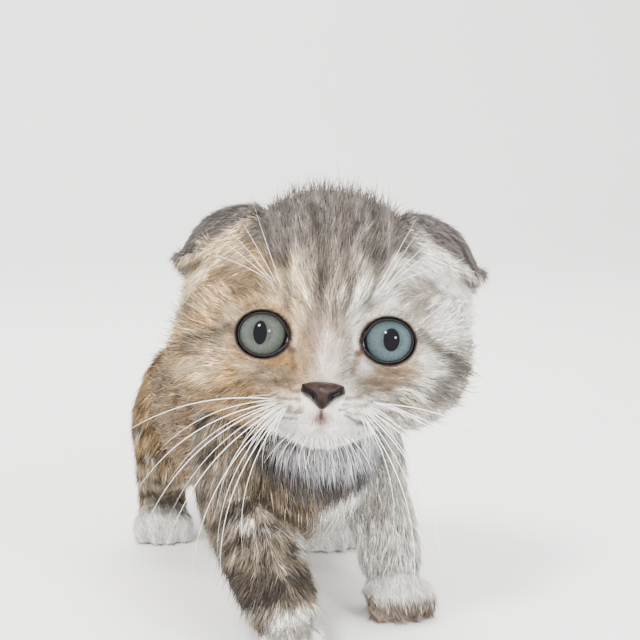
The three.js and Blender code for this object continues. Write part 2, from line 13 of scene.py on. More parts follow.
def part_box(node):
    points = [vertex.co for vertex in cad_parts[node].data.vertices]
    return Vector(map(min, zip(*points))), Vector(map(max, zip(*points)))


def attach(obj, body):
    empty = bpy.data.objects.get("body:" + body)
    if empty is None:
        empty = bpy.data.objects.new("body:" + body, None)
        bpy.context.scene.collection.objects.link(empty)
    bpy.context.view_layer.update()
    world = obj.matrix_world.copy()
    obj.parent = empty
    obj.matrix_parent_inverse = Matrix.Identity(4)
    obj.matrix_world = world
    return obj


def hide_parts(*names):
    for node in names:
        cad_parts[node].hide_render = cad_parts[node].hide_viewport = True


bl_info = {
    "name": "Scottish Fold Kitten",
    "version": (1, 0, 0),
    "blender": (4, 5, 0),
    "location": "3D View > Sidebar > Kitten",
    "description": "Dresses a kitten's solids in skin, fur, eyes, nose leather, whiskers and claws",
    "category": "Object",
}

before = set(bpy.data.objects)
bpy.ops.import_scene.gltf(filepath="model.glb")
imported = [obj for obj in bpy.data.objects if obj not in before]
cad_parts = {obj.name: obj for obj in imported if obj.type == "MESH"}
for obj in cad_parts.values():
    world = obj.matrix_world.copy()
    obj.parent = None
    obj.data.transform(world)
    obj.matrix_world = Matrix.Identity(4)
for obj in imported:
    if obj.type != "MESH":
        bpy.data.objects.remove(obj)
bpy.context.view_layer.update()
MM = 0.001
EYES = ("right_eye", "left_eye")
WHISKERS = ("right_whiskers", "left_whiskers")
FLESH = sorted(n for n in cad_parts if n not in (*EYES, *WHISKERS, "nose"))

# The turn of the head on the body, in degrees: to the kitten's right, face up, left side down.
HEAD_TURN = {"yaw": -11.0, "pitch": 6.0, "roll": 3.2}
# Places in the head's own frame, in millimetres: it faces -Y, from the middle of the skull.
EYE_APART = 32.0
EYE_DEPTH = -19.4
EYE_HEIGHT = -4.0
EYEBALL = 8.0
CORNEA = 0.9  # how far it stands out of the eyeball
IRIS_EDGE = 6.7
OPENING = (6.65, 5.85)  # half the width and height of the opening between the lids
BARE_RING = (6.7, 5.9)  # the same for the bare ring round it
# Where the dark back of a folded ear meets the pale fur at its rim: |x| and z.
FOLD_RIM = ((20.0, 25.5, 31.0, 36.4, 39.2, 42.0), (25.8, 22.9, 19.4, 14.5, 11.8, 9.2))
PAD = (10.8, -20.8)  # the middle of a whisker pad
NOSTRIL = ((5.7, -16.0), (4.5, -16.9), (3.2, -17.5), (2.2, -18.2), (2.15, -19.2))
# The camera: how it turns and rises, its distance in millimetres, and how wide its view is there.
CAMERA_TURN = math.radians(-11.0)
CAMERA_RISE = math.radians(7.0)
CAMERA_AWAY = 420.0
VIEW_WIDTH = 161.9
VIEW_SHIFT = (-1.45, 4.55)  # from between the eyes to the middle of the picture, right and up
SENSOR_WIDTH = 36.0
VIEW_RIGHT = np.array([math.cos(CAMERA_TURN), math.sin(CAMERA_TURN), 0.0])


class KittenSettings(PropertyGroup):
    """Sizes and colours of the kitten's skin, coat, eyes and stage."""

    voxel: FloatProperty(
        name="Skin grid",
        description="Edge of the grid that the skin is drawn on",
        default=0.75 * MM,
        min=0.3 * MM,
        unit="LENGTH",
    )
    face_fur: FloatProperty(
        name="Face fur", description="Length of the fur on the face", default=4.2 * MM, unit="LENGTH"
    )
    crown_fur: FloatProperty(
        name="Crown fur", description="Length of the fur on the crown", default=7.5 * MM, unit="LENGTH"
    )
    body_fur: FloatProperty(
        name="Body fur", description="Length of the fur on the body", default=8.5 * MM, unit="LENGTH"
    )
    leg_fur: FloatProperty(
        name="Leg fur", description="Length of the fur on the legs", default=5.4 * MM, unit="LENGTH"
    )
    ear_fur: FloatProperty(
        name="Ear fur", description="Length of the fur on the ears", default=3.0 * MM, unit="LENGTH"
    )
    tufts: IntProperty(
        name="Tufts", description="How many tufts make up the whole coat", default=272000, min=1000
    )
    piece_faces: IntProperty(
        name="Faces a piece", description="Most triangles in one piece of the coat", default=190000, min=1000
    )
    right_iris: FloatVectorProperty(
        name="Right iris",
        description="Colour of the right iris",
        subtype="COLOR",
        size=4,
        default=(0.046, 0.053, 0.047, 1.0),
    )
    left_iris: FloatVectorProperty(
        name="Left iris",
        description="Colour of the left iris",
        subtype="COLOR",
        size=4,
        default=(0.04, 0.058, 0.063, 1.0),
    )
    nose_colour: FloatVectorProperty(
        name="Nose leather",
        description="Colour of the nose leather",
        subtype="COLOR",
        size=4,
        default=(0.02, 0.0108, 0.0094, 1.0),
    )
    floor_colour: FloatVectorProperty(
        name="Floor",
        description="Colour of the floor",
        subtype="COLOR",
        size=4,
        default=(0.84, 0.84, 0.83, 1.0),
    )


# Small helpers


def smooth(edge0, edge1, value):
    """0 below edge0, 1 above edge1, and a soft step between them."""
    t = np.clip((value - edge0) / (edge1 - edge0), 0.0, 1.0)
    return t * t * (3.0 - 2.0 * t)


def unit(vectors):
    return vectors / np.maximum(np.linalg.norm(vectors, axis=-1, keepdims=True), 1e-9)


def linear(red, green, blue):
    """A colour in 0 to 255 steps as the light it sends back."""
    c = np.array([red, green, blue], float) / 255.0
    return np.where(c <= 0.04045, c / 12.92, ((c + 0.055) / 1.055) ** 2.4)


def mesh_points(mesh):
    points = np.empty(len(mesh.vertices) * 3, np.float32)
    mesh.vertices.foreach_get("co", points)
    return points.reshape(-1, 3).astype(float)


def set_points(mesh, points):
    """Move a mesh's points to these places, in millimetres."""
    mesh.vertices.foreach_set("co", (np.asarray(points, float) * MM).astype(np.float32).ravel())
    mesh.update()


def mesh_normals(mesh):
    normals = np.empty(len(mesh.vertices) * 3, np.float32)
    mesh.vertices.foreach_get("normal", normals)
    return normals.reshape(-1, 3).astype(float)


def lattice_noise(points, size, seed):
    """Smooth random values from -1 to 1 that change over `size` millimetres."""
    q = points / size + seed * 17.31
    cell = np.floor(q).astype(np.int64)
    f = q - cell
    f = f * f * (3.0 - 2.0 * f)
    total = np.zeros(len(points))
    for dx in (0, 1):
        for dy in (0, 1):
            for dz in (0, 1):
                x, y, z = (cell + (dx, dy, dz)).T
                h = x * 73856093 ^ y * 19349663 ^ z * 83492791
                h = (h ^ (h >> 13)) * 1274126177 + seed * 7919
                value = ((h ^ (h >> 16)) & 0xFFFF) / 32767.5 - 1.0
                weight = np.abs(1 - dx - f[:, 0]) * np.abs(1 - dy - f[:, 1]) * np.abs(1 - dz - f[:, 2])
                total += value * weight
    return total


def strands(points, lie, size, reach, seed):
    """Random values, about -2 to 2, that run in strands `reach` long along the lie of the fur."""
    steps = np.linspace(-1.0, 1.0, 7) * reach
    total = sum(lattice_noise(points + lie * step, size, seed) for step in steps)
    return total / max(total.std(), 1e-9)


def sphere_middle(points):
    """The middle of the ball that most of the points lie on."""
    kept = points
    for _ in range(4):
        a = np.c_[2.0 * kept, np.ones(len(kept))]
        solved = np.linalg.lstsq(a, (kept**2).sum(1), rcond=None)[0]
        middle = solved[:3]
        off = np.linalg.norm(points - middle, axis=1) - EYEBALL
        kept = points[np.abs(off) < 0.3]
        if len(kept) < 20:
            kept = points
    return middle


def head_frame():
    """The head's rotation, and its origin in millimetres, from the middles of the two eyes."""
    turn = (
        Matrix.Rotation(math.radians(HEAD_TURN["yaw"]), 3, "Z")
        @ Matrix.Rotation(math.radians(-HEAD_TURN["pitch"]), 3, "X")
        @ Matrix.Rotation(math.radians(HEAD_TURN["roll"]), 3, "Y")
    )
    turn = np.array(turn)
    middles = [sphere_middle(mesh_points(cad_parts[eye].data) * 1000.0) for eye in EYES]
    between = (middles[0] + middles[1]) / 2.0
    return turn, between - turn @ np.array([0.0, EYE_DEPTH, EYE_HEIGHT])


HEAD_ROTATION, HEAD_ORIGIN = head_frame()


# The body's map of markings starts under the chest; the head's origin has this place on it.
BODY_ORIGIN = HEAD_ORIGIN - np.array([1.05, -104.42, 93.5])


def to_body(points):
    """Points in millimetres, on the body's own map, whatever the frame's origin."""
    return points - BODY_ORIGIN


def to_head(points):
    """Points in millimetres, seen from the head's own frame."""
    return (points - HEAD_ORIGIN) @ HEAD_ROTATION


def from_head(points):
    return np.asarray(points) @ HEAD_ROTATION.T + HEAD_ORIGIN


def eye_ring(head, sign, size):
    """How far places on the head are from an eye, where 1 is an oval of this half size."""
    across = (head[:, 0] - sign * EYE_APART / 2) / size[0]
    up = (head[:, 2] - EYE_HEIGHT) / size[1]
    return np.hypot(across, up)


def deselect():
    bpy.ops.object.select_all(action="DESELECT")


def pick(piece):
    deselect()
    piece.select_set(True)
    bpy.context.view_layer.objects.active = piece


def apply_modifiers(piece):
    pick(piece)
    for modifier in list(piece.modifiers):
        bpy.ops.object.modifier_apply(modifier=modifier.name)


def round_shell(piece):
    """Shade a closed piece smooth, with all its faces outwards."""
    pick(piece)
    bpy.ops.object.shade_smooth()
    bpy.ops.object.mode_set(mode="EDIT")
    bpy.ops.mesh.select_all(action="SELECT")
    bpy.ops.mesh.normals_make_consistent(inside=False)
    bpy.ops.object.mode_set(mode="OBJECT")


def copy_of_nodes(names, title):
    """One new object that holds copies of the named solids, each with its doubles merged."""
    deselect()
    copies = []
    for name in names:
        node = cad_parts[name]
        copy = bpy.data.objects.new(f"{title}_{name}", node.data.copy())
        bpy.context.collection.objects.link(copy)
        copy.data.materials.clear()
        if name in WHISKERS:
            draw_in_whiskers(copy, -1 if name == WHISKERS[0] else 1)
        copies.append(copy)
    for copy in copies:
        copy.select_set(True)
    bpy.context.view_layer.objects.active = copies[0]
    if len(copies) > 1:
        bpy.ops.object.join()
    piece = bpy.context.view_layer.objects.active
    piece.name = title
    piece.data.name = title
    bpy.ops.object.mode_set(mode="EDIT")
    bpy.ops.mesh.select_all(action="SELECT")
    bpy.ops.mesh.remove_doubles(threshold=0.00001)
    bpy.ops.object.mode_set(mode="OBJECT")
    return piece


def draw_in_whiskers(pad, sign):
    """Draw the hairs of a copied whisker pad into the pad, which is flesh."""
    points = mesh_points(pad.data) * 1000.0
    middle = from_head([sign * PAD[0], -31.5, PAD[1]])
    points[np.linalg.norm(points - middle, axis=1) > 6.5] = middle
    set_points(pad.data, points)


def colour_attribute(mesh, colours, name="coat_colour"):
    attribute = mesh.color_attributes.new(name, "FLOAT_COLOR", "POINT")
    values = np.ones((len(mesh.vertices), 4), np.float32)
    values[:, :3] = np.clip(colours, 0.0, 1.0)
    attribute.data.foreach_set("color", values.ravel())


def mesh_from(title, points, faces):
    """A new object from arrays of points, in millimetres, and triangles."""
    mesh = bpy.data.meshes.new(title)
    mesh.vertices.add(len(points))
    mesh.vertices.foreach_set("co", (np.asarray(points, float) * MM).astype(np.float32).ravel())
    mesh.loops.add(faces.size)
    mesh.loops.foreach_set("vertex_index", faces.astype(np.int32).ravel())
    mesh.polygons.add(len(faces))
    mesh.polygons.foreach_set("loop_start", np.arange(0, faces.size, 3, dtype=np.int32))
    mesh.polygons.foreach_set("use_smooth", np.ones(len(faces), bool))
    mesh.update(calc_edges=True)
    mesh.validate()
    piece = bpy.data.objects.new(title, mesh)
    bpy.context.collection.objects.link(piece)
    return piece


# The coat's regions and lie

REGIONS = ("head", "ear", "neck", "torso", "leg", "paw", "tail")
HEAD, EAR, NECK, TORSO = range(4)
BORDER_STEPS = 14  # how often the shares are spread over a region's border
# Where seeds stand on a triangle, as shares of two of its sides.
SEEDS = ((1 / 3, 1 / 3), (0.1, 0.1), (0.8, 0.1), (0.1, 0.8), (0.45, 0.45), (0.1, 0.45), (0.45, 0.1))


def by_region(shares, **values):
    """One value for each point, mixed from a value for each region."""
    return shares @ np.array([values[region] for region in REGIONS])


def region_of(node):
    if node in ("head", "jaw"):
        return "head"
    if node.endswith("_ear"):
        return "ear"
    if node == "neck":
        return "neck"
    if node.startswith("tail"):
        return "tail"
    if node.endswith("_paw"):
        return "paw"
    if node.endswith(("_arm", "_forearm", "_thigh", "_shank")):
        return "leg"
    return "torso"


def region_shares(mesh, points):
    """How much each point of the skin belongs to each region, with soft borders."""
    seeds = []
    labels = []
    for name in FLESH:
        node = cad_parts[name].data
        corners = mesh_points(node)
        node.calc_loop_triangles()
        faces = np.empty(len(node.loop_triangles) * 3, np.int32)
        node.loop_triangles.foreach_get("vertices", faces)
        a, b, c = corners[faces.reshape(-1, 3)].transpose(1, 0, 2)
        for u, v in SEEDS:
            seeds.append(a + (b - a) * u + (c - a) * v)
            labels += [REGIONS.index(region_of(name))] * len(a)
    seeds = np.concatenate(seeds)
    labels = np.array(labels)
    tree = KDTree(len(seeds))
    for i, seed in enumerate(seeds):
        tree.insert(seed, i)
    tree.balance()
    nearest = np.array([tree.find(p)[1] for p in points * MM])
    shares = np.eye(len(REGIONS))[labels[nearest]]
    edges = np.empty(len(mesh.edges) * 2, np.int32)
    mesh.edges.foreach_get("vertices", edges)
    a, b = edges.reshape(-1, 2).T
    count = np.bincount(a, minlength=len(points)) + np.bincount(b, minlength=len(points))
    for _ in range(BORDER_STEPS):
        total = np.empty_like(shares)
        for k in range(len(REGIONS)):
            share = shares[:, k]
            total[:, k] = np.bincount(a, share[b], len(points)) + np.bincount(b, share[a], len(points))
        shares = 0.4 * shares + 0.6 * total / count[:, None]
    return shares


def under_fold(head):
    """1 in the hollow between a folded ear and the head."""
    x, y, z = np.abs(head[:, 0]), head[:, 1], head[:, 2]
    near = smooth(28.5, 31.0, x) * smooth(18.0, 15.0, z) * smooth(2.0, 6.0, z)
    return near * smooth(-14.0, -9.0, y) * smooth(12.0, 6.0, y)


def fold_rim(head):
    """1 on the front rim of a folded ear, below the line where its dark back begins."""
    line = np.interp(np.abs(head[:, 0]), *FOLD_RIM)
    return smooth(1.2, -1.2, head[:, 2] - line) * smooth(-2.0, -6.0, head[:, 1])


def bib_share(points, shares):
    """1 on the low front of the chest, whose long fur hangs between the forelegs."""
    x, y, z = to_body(points).T
    near = smooth(20.0, 13.0, np.abs(x - 4.0)) * smooth(46.0, 36.0, z) * smooth(-58.0, -72.0, y)
    return near * (shares[:, TORSO] + shares[:, NECK])


def ear_flap(head):
    """1 on the front of a folded ear and on the fur beside it."""
    x, y, z = np.abs(head[:, 0]), head[:, 1], head[:, 2]
    return smooth(15.0, 20.0, x) * smooth(5.0, 10.0, z) * smooth(0.0, -4.0, y)


def turned_to(lie, other, share):
    """A lie of the fur, turned towards another by a share from 0 to 1."""
    return unit(lie * (1 - share[:, None]) + other * share[:, None])


def lie_of_coat(points, normals, shares):
    """The direction that the fur runs in, along the skin, away from the nose and down to the paws."""
    head = to_head(points)
    side = np.sign(head[:, 0])

    def on_head(across, back, up):
        """A direction in the head's frame that is the same, outwards, on both of its sides."""
        return np.c_[side * across, np.full(len(side), back), np.full(len(side), up)] @ HEAD_ROTATION.T

    def everywhere(*direction):
        return unit(np.tile(direction, (len(points), 1)))

    out = head - np.array([0.0, -40.0, -15.5])
    out[:, 2] += 3.0 * np.clip(head[:, 2] - 5.0, 0.0, 20.0) / 20.0
    face = unit(out * np.array([1.0, 0.75, 1.0]))
    low_cheek = smooth(14.0, 28.0, np.abs(head[:, 0])) * smooth(4.0, -14.0, head[:, 2])
    face = unit(face + low_cheek[:, None] * np.array([0.0, 0.1, -0.35])) @ HEAD_ROTATION.T
    along_flap = unit(on_head(1.0, 0.1, -0.5))
    face = turned_to(face, along_flap, ear_flap(head))
    face = turned_to(face, on_head(1.0, -0.25, 0.1), under_fold(head))
    ear = turned_to(unit(on_head(0.7, -0.55, -0.55)), along_flap, fold_rim(head))
    chest = smooth(-84.0, -104.0, to_body(points)[:, 1])
    torso = turned_to(np.array([0.0, 1.0, -0.3]), np.array([0.0, 0.15, -1.0]), chest)
    torso = turned_to(torso, np.array([0.0, -0.1, -1.0]), bib_share(points, shares))
    lies = (
        face,
        ear,
        unit(torso + np.array([0.0, 0.2, -0.4])),
        torso,
        everywhere(0.0, 0.15, -1.0),
        everywhere(0.0, -0.85, -0.5),
        everywhere(0.06, 1.0, -0.25),
    )
    lie = sum(shares[:, k : k + 1] * lies[k] for k in range(len(REGIONS)))
    return unit(lie - normals * (lie * normals).sum(1, keepdims=True))


def bare_share(points):
    """1 on the lids' edges and round the nose leather, where the coat thins out to nothing."""
    head = to_head(points)
    bare = np.zeros(len(points))
    for sign in (-1, 1):
        ring = eye_ring(head, sign, BARE_RING)
        bare = np.maximum(bare, smooth(1.17, 1.06, ring) * smooth(-15.0, -20.0, head[:, 1]))
    nose = np.hypot(head[:, 0] / 6.2, (head[:, 2] + 18.2) / 3.7)
    return np.maximum(bare, smooth(1.1, 0.9, nose) * smooth(-28.0, -31.0, head[:, 1]))


def coat_depth(points, shares):
    """How deep the skin lies under the coat's outline, in millimetres."""
    depth = by_region(shares, head=2.2, ear=0.4, neck=2.6, torso=2.4, leg=1.3, paw=0.7, tail=1.7)
    head = to_head(points)
    in_face = shares[:, HEAD] * smooth(-8.0, -22.0, head[:, 1])
    depth = depth * (1 - in_face) + 0.95 * in_face
    snout = in_face * smooth(24.0, 10.0, np.hypot(head[:, 0], head[:, 2] + 20.0))
    depth = depth * (1 - snout) + 0.6 * snout
    depth = depth * (1 - 0.85 * bare_share(points))
    depth = depth + 0.7 * shares[:, EAR] * smooth(33.0, 39.0, np.abs(head[:, 0]))
    return depth * (1 - 0.9 * smooth(1.2, 0.3, points[:, 2]))


# The markings, in light, from places on the head and the body

TAN = linear(196, 171, 136)
CREAM = linear(224, 208, 184)
WHITE = linear(252, 250, 246)
CROWN = linear(142, 136, 131)
DARK = linear(100, 93, 86)
ASH = linear(212, 208, 200)
GREY = linear(152, 147, 142)
EAR_GREY = linear(138, 133, 131)
FLANK = linear(174, 155, 128)
BAND = linear(104, 92, 78)
RUST = linear(180, 146, 106)
SPOT = linear(118, 108, 98)
LID = linear(112, 92, 88)
LIP = linear(186, 160, 152)
SOLE = linear(176, 128, 118)
ALBEDO_POWER = 1.7  # light scatters between the hairs, so a coat looks paler than they are

# Oval marks of the head: colour, share, middle, half size, turn in degrees and softness.
TEMPLE_BLOTS = (
    (CREAM, 0.35, (-31.5, 6.5), (8, 10), -20),
    (CREAM, 0.9, (-27.5, 17.0), (9, 4.5), -30),
    (WHITE, 0.9, (28.5, 15.5), (10, 5.5), 32),
    (WHITE, 0.9, (32.5, 6.0), (7.5, 10), 12),
    (linear(182, 160, 136), 0.75, (-22.0, 10.0), (6.5, 5.5), -25),
    (linear(186, 178, 168), 0.75, (24.0, 8.5), (6.0, 5.0), 20),
    (CREAM, 0.6, (-30.0, -12.5), (6.0, 2.6), 12),
    (linear(176, 152, 118), 0.6, (-25.0, -22.0), (9.0, 6.0), -20),
    (WHITE, 0.7, (27.5, -9.0), (4.5, 2.2), -30),
)
# The brows, the bridge of the nose, and the fur beside and under the eyes.
BROW_BLOTS = (
    (CREAM, 0.75, (-6.2, 4.6), (1.9, 6.2), -6),
    (WHITE, 0.45, (7.6, 5.8), (1.9, 6.6), -10),
    (CREAM, 0.65, (-13.6, 7.0), (3.4, 3.0), 40, 0.7),
    (WHITE, 0.6, (14.3, 7.0), (3.4, 2.6), -30, 0.7),
    (linear(196, 180, 168), 0.85, (0.4, -7.0), (4.6, 8.5)),
    (linear(226, 216, 209), 0.85, (1.6, -9.0), (3.0, 6.0)),
    (linear(206, 180, 148), 0.65, (-4.2, -9.5), (1.7, 5.4), -8, 0.8),
    (CREAM, 0.6, (-7.0, -2.2), (1.5, 4.6), -8, 0.8),
    (WHITE, 0.4, (6.9, -2.6), (1.3, 4.4), 8, 0.8),
    (RUST, 0.35, (-10.4, -11.2), (3.6, 1.5), -14),
    (RUST, 0.45, (19.0, -11.4), (6.0, 1.9), 8),
    (linear(160, 149, 134), 0.8, (-13.6, -14.6), (7.0, 3.0), -10),
)
CHEEK_BLOTS = (
    (linear(150, 132, 112), 0.75, (15.5, -14.2), (7.0, 3.2), 8),
    (GREY, 0.8, (31.5, -14.0), (4.0, 8.0), -22),
    (CREAM, 0.5, (-19.5, -12.2), (3.0, 1.6), 10),
)
MUZZLE_BLOTS = (
    (WHITE, 0.94, (0.0, -27.0), (15.0, 6.8)),
    (WHITE, 0.9, (0.0, -21.5), (12.5, 3.8)),
    (linear(228, 206, 172), 0.35, (-9.5, -19.0), (6.5, 3.2), -14),
    (linear(212, 204, 192), 0.25, (9.5, -19.0), (6.0, 3.0), 14),
)
# Lines of the head: where they start and end, and their half width.
FOREHEAD_LINES = (
    ((-9.9, 3.6), (-11.0, 14.0), 1.25),
    ((-11.0, 14.0), (-11.6, 30.0), 1.6),
    ((10.2, 4.0), (11.6, 17.0), 1.25),
    ((11.6, 17.0), (9.6, 30.0), 1.6),
    ((-1.6, 1.0), (-1.5, 10.0), 1.5),
    ((-1.5, 10.0), (-5.0, 27.0), 1.7),
    ((4.6, 9.0), (3.6, 30.0), 1.5),
    ((-16.5, 18.0), (-17.0, 29.0), 1.2),
    ((16.5, 19.0), (15.5, 29.0), 1.2),
)
# From the outer corners of the eyes, each with its share.
CHEEK_LINES = (
    ((-24.0, -3.2), (-33.0, -5.8), 1.3, 0.6),
    ((-33.0, -5.8), (-37.0, -11.0), 1.6, 0.4),
    ((23.7, -2.0), (36.5, -11.3), 1.2, 0.55),
)
# Rows of spots on a whisker pad: where each row starts, from the top one down.
SPOT_ROWS = ((5.8, -18.3), (5.4, -20.2), (5.2, -22.0), (6.2, -23.8))
# Rims round an eye: colour, share, and where on its ring each fades in and is full.
EYE_RIMS = (
    (linear(150, 134, 118), 0.45, 1.28, 1.12),
    (linear(70, 56, 52), 0.75, 1.16, 1.1),
    (linear(30, 24, 24), 1.0, 1.1, 1.05),
)


def blot(x, z, at, size, turn=0.0, soft=0.45):
    """1 inside a soft oval mark at `at`, with half width and half height `size`."""
    c, s = math.cos(math.radians(turn)), math.sin(math.radians(turn))
    dx, dz = x - at[0], z - at[1]
    u, v = (dx * c + dz * s) / size[0], (dz * c - dx * s) / size[1]
    return smooth(1.0 + soft, 1.0 - soft, np.hypot(u, v))


def stroke(x, z, start, end, width, soft=0.6):
    """1 along a soft line from `start` to `end`, which fades at its ends."""
    ax, az = start
    bx, bz = end
    length = max((bx - ax) ** 2 + (bz - az) ** 2, 1e-6)
    t = np.clip(((x - ax) * (bx - ax) + (z - az) * (bz - az)) / length, 0.0, 1.0)
    away = np.hypot(x - ax - t * (bx - ax), z - az - t * (bz - az))
    return smooth(width * (1 + soft), width * (1 - soft), away)


def lay(colours, over, share):
    """The colours with another laid over them, by a share from 0 to 1."""
    share = np.clip(share, 0.0, 1.0)[:, None]
    return colours * (1 - share) + over * share


def lay_blots(colours, x, z, blots):
    """The colours with a table of oval marks laid over them, in turn."""
    for over, share, *shape in blots:
        colours = lay(colours, over, share * blot(x, z, *shape))
    return colours


def all_over(colour, points):
    """The same colour at every point."""
    return colour * np.ones((len(points), 1))


def whisker_spots(colours, x, z):
    """Rows of dark spots, from which the whiskers grow, laid over the whisker pads."""
    for sign in (-1, 1):
        for row, (row_x, row_z) in enumerate(SPOT_ROWS):
            for k in range(5):
                at = (row_x + 2.5 * k, row_z + (0.5 - 0.38 * row) * k)
                end = (sign * (at[0] + 1.5), at[1] + 0.35 - 0.3 * row)
                spot = stroke(x, z, (sign * at[0], at[1]), end, 0.5)
                colours = lay(colours, SPOT, (0.66 - 0.08 * k) * spot)
    return colours


def mouth_markings(colours, x, z):
    """The bare lips, and the split under the nose."""
    colours = lay(colours, linear(126, 92, 86), 0.7 * blot(x, z, (0.0, -24.0), (1.1, 1.5), soft=0.8))
    return lay(colours, linear(104, 76, 70), 0.75 * stroke(x, z, (0.0, -21.6), (0.0, -24.0), 0.38))


def eye_markings(colours, head, x, z):
    """Dark rims, inner corners and tear lines of the eyes."""
    front = smooth(4.0, -12.0, head[:, 1])
    for sign in (-1, 1):
        ring = eye_ring(head, sign, OPENING)
        for over, share, fades, full in EYE_RIMS:
            colours = lay(colours, over, share * smooth(fades, full, ring) * front)
        corner = blot(head[:, 0], head[:, 2], (sign * 8.7, -7.4), (1.5, 0.9), sign * 32)
        colours = lay(colours, LID, 0.85 * corner)
        tear = stroke(x, z, (sign * 8.8, -8.2), (sign * 7.6, -12.0), 0.8, 0.9)
        colours = lay(colours, linear(140, 112, 84), 0.55 * tear)
    return colours


def nape_markings(head, ripple):
    """The back of the head, which keeps the crown's stripes between its paler sides."""
    x = head[:, 0]
    stripes = smooth(0.1, 0.8, np.cos(x * 0.62 + 0.5 * ripple[0]))
    middle = lay(all_over(CROWN, head), DARK, 0.55 * stripes)
    sides = lay(all_over(ASH, head), linear(182, 166, 142), smooth(6.0, -8.0, x))
    return middle * smooth(33.0, 24.0, np.abs(x))[:, None] + sides * smooth(24.0, 33.0, np.abs(x))[:, None]


def face_markings(head, ripple):
    """Markings of the head, seen from the front. `ripple` shifts their edges along the fur."""
    x = head[:, 0] + 0.9 * ripple[0]
    z = head[:, 2] + 1.6 * ripple[1]
    c = lay(all_over(ASH, head), linear(190, 178, 160), 0.55 * smooth(-0.1, 0.7, ripple[2]))
    half = lay(all_over(TAN, head), linear(202, 188, 166), smooth(-0.45, 0.35, ripple[2]))
    half = lay(half, linear(160, 146, 128), 0.5 * smooth(0.1, 0.7, ripple[0]) * smooth(6.0, -6.0, z))
    c = lay(c, half, smooth(3.0, -9.0, x))
    c = lay_blots(c, x, z, TEMPLE_BLOTS)
    # the crown, the paler forehead and its dark lines
    crown = smooth(9.5, 15.5, z + 2.2 * np.cos(x * 0.5) - 0.2 * np.abs(x))
    crown = crown * smooth(25.5, 17.5, np.abs(x) - 0.25 * (z - 20.0))
    c = lay(c, CROWN, crown)
    c = lay(c, linear(180, 171, 160), 0.85 * blot(x, z, (0.0, 7.0), (10.0, 11.0)))
    for start, end, width in FOREHEAD_LINES:
        c = lay(c, DARK, 0.45 * stroke(x, z, start, end, width, 0.8))
    c = lay_blots(c, x, z, BROW_BLOTS)
    # broken dark patches under the eyes
    patches = smooth(-0.2, 0.5, ripple[1])
    c = lay(c, SPOT, 0.6 * blot(x, z, (-12.0, -15.0), (5.0, 1.6), -14) * patches)
    c = lay(c, linear(126, 112, 96), 0.5 * blot(x, z, (14.5, -14.6), (6.0, 1.8), 10) * patches)
    c = lay_blots(c, x, z, CHEEK_BLOTS)
    for start, end, width, share in CHEEK_LINES:
        c = lay(c, DARK, share * stroke(x, z, start, end, width))
    c = lay_blots(c, x, z, MUZZLE_BLOTS)
    c = whisker_spots(c, x, z)
    c = lay(c, LIP, 0.8 * blot(x, z, (0.0, -24.6), (2.4, 2.4), soft=0.85))
    c = mouth_markings(c, head[:, 0], head[:, 2])
    c = eye_markings(c, head, x, z)
    back = smooth(-6.0, 8.0, head[:, 1]) * smooth(-20.0, -2.0, head[:, 2])
    pale = lay(all_over(linear(232, 228, 222), head), CREAM, smooth(3.0, -3.0, head[:, 0]))
    return lay(lay(c, nape_markings(head, ripple), back), pale, under_fold(head))


def ear_markings(head, ripple):
    """A dark back, and pale fur at the rim of the fold."""
    pale = lay(all_over(linear(226, 222, 214), head), CREAM, smooth(3.0, -3.0, head[:, 0]))
    return lay(all_over(EAR_GREY, head), pale, 0.95 * fold_rim(head + 1.5 * ripple[0][:, None]))


def chest_markings(points, ripple, wander):
    """The front of the chest, with a streaked right half, a white patch, a dark collar, and painted shade
    under the chin.
    """
    z = to_body(points)[:, 2]
    across = (points - HEAD_ORIGIN) @ VIEW_RIGHT
    c = lay(all_over(linear(172, 160, 144), points), linear(205, 205, 204), smooth(2.0, 12.0, across))
    slant = z + 0.55 * across + 3.0 * wander
    waves = np.sin(slant * 0.62 + 1.5 * ripple[0] + 0.9 * ripple[1] + 0.6)
    streaks = smooth(-0.1, 0.8, waves + 0.5 * ripple[1])
    c = lay(c, BAND, 0.8 * streaks * smooth(4.0, -6.0, across) * smooth(66.0, 58.0, z))
    c = lay(c, WHITE, blot(across, z, (4.5, 35.0), (8.5, 11.5), -14, 0.3))
    collar = z - (50.0 + np.where(across < 0, 0.028, 0.012) * across**2)
    chin_shade = smooth(0.5, 3.0, collar) * smooth(20.0, 12.0, np.abs(across))
    # painted shade: the throat between the collar and the chin is painted pale grey instead of white, for
    # the shade under the chin
    c = lay(c, linear(192, 193, 196), 0.85 * chin_shade)
    return lay(c, linear(98, 95, 98), 0.8 * smooth(4.2, 1.8, np.abs(collar + 1.6 * ripple[0])))


def body_markings(points, ripple):
    """Bands on the flanks, a dark back line, a pale belly, and the front of the chest."""
    x, y, z = to_body(points).T
    right_side = smooth(6.0, -6.0, x + 2.0 * ripple[0])
    c = lay(all_over(linear(194, 191, 185), points), FLANK, right_side)
    c = lay(c, CREAM, 0.55 * smooth(40.0, 26.0, z) * smooth(-70.0, -50.0, y))
    wander = lattice_noise(points, 17.0, 31)
    phase = y * 0.4 + 1.9 * np.sin(z * 0.09 + 1.0) + 2.1 * wander + 0.9 * ripple[0] + 0.5 * ripple[1]
    broken = smooth(-0.75, 0.2, lattice_noise(points, 11.0, 32))
    bands = smooth(0.0, 1.0, np.sin(phase)) * broken * smooth(20.0, 44.0, z + 6 * ripple[1])
    bands = bands * (0.66 - 0.2 * smooth(0.0, 10.0, x))
    c = lay(c, BAND, bands * smooth(-96.0, -84.0, y))
    c = lay(c, DARK, 0.7 * smooth(9.0, 3.0, np.abs(x - 1.0 + 2.5 * ripple[0])) * smooth(66.0, 80.0, z))
    return lay(c, chest_markings(points, ripple, wander), smooth(-76.0, -92.0, y))


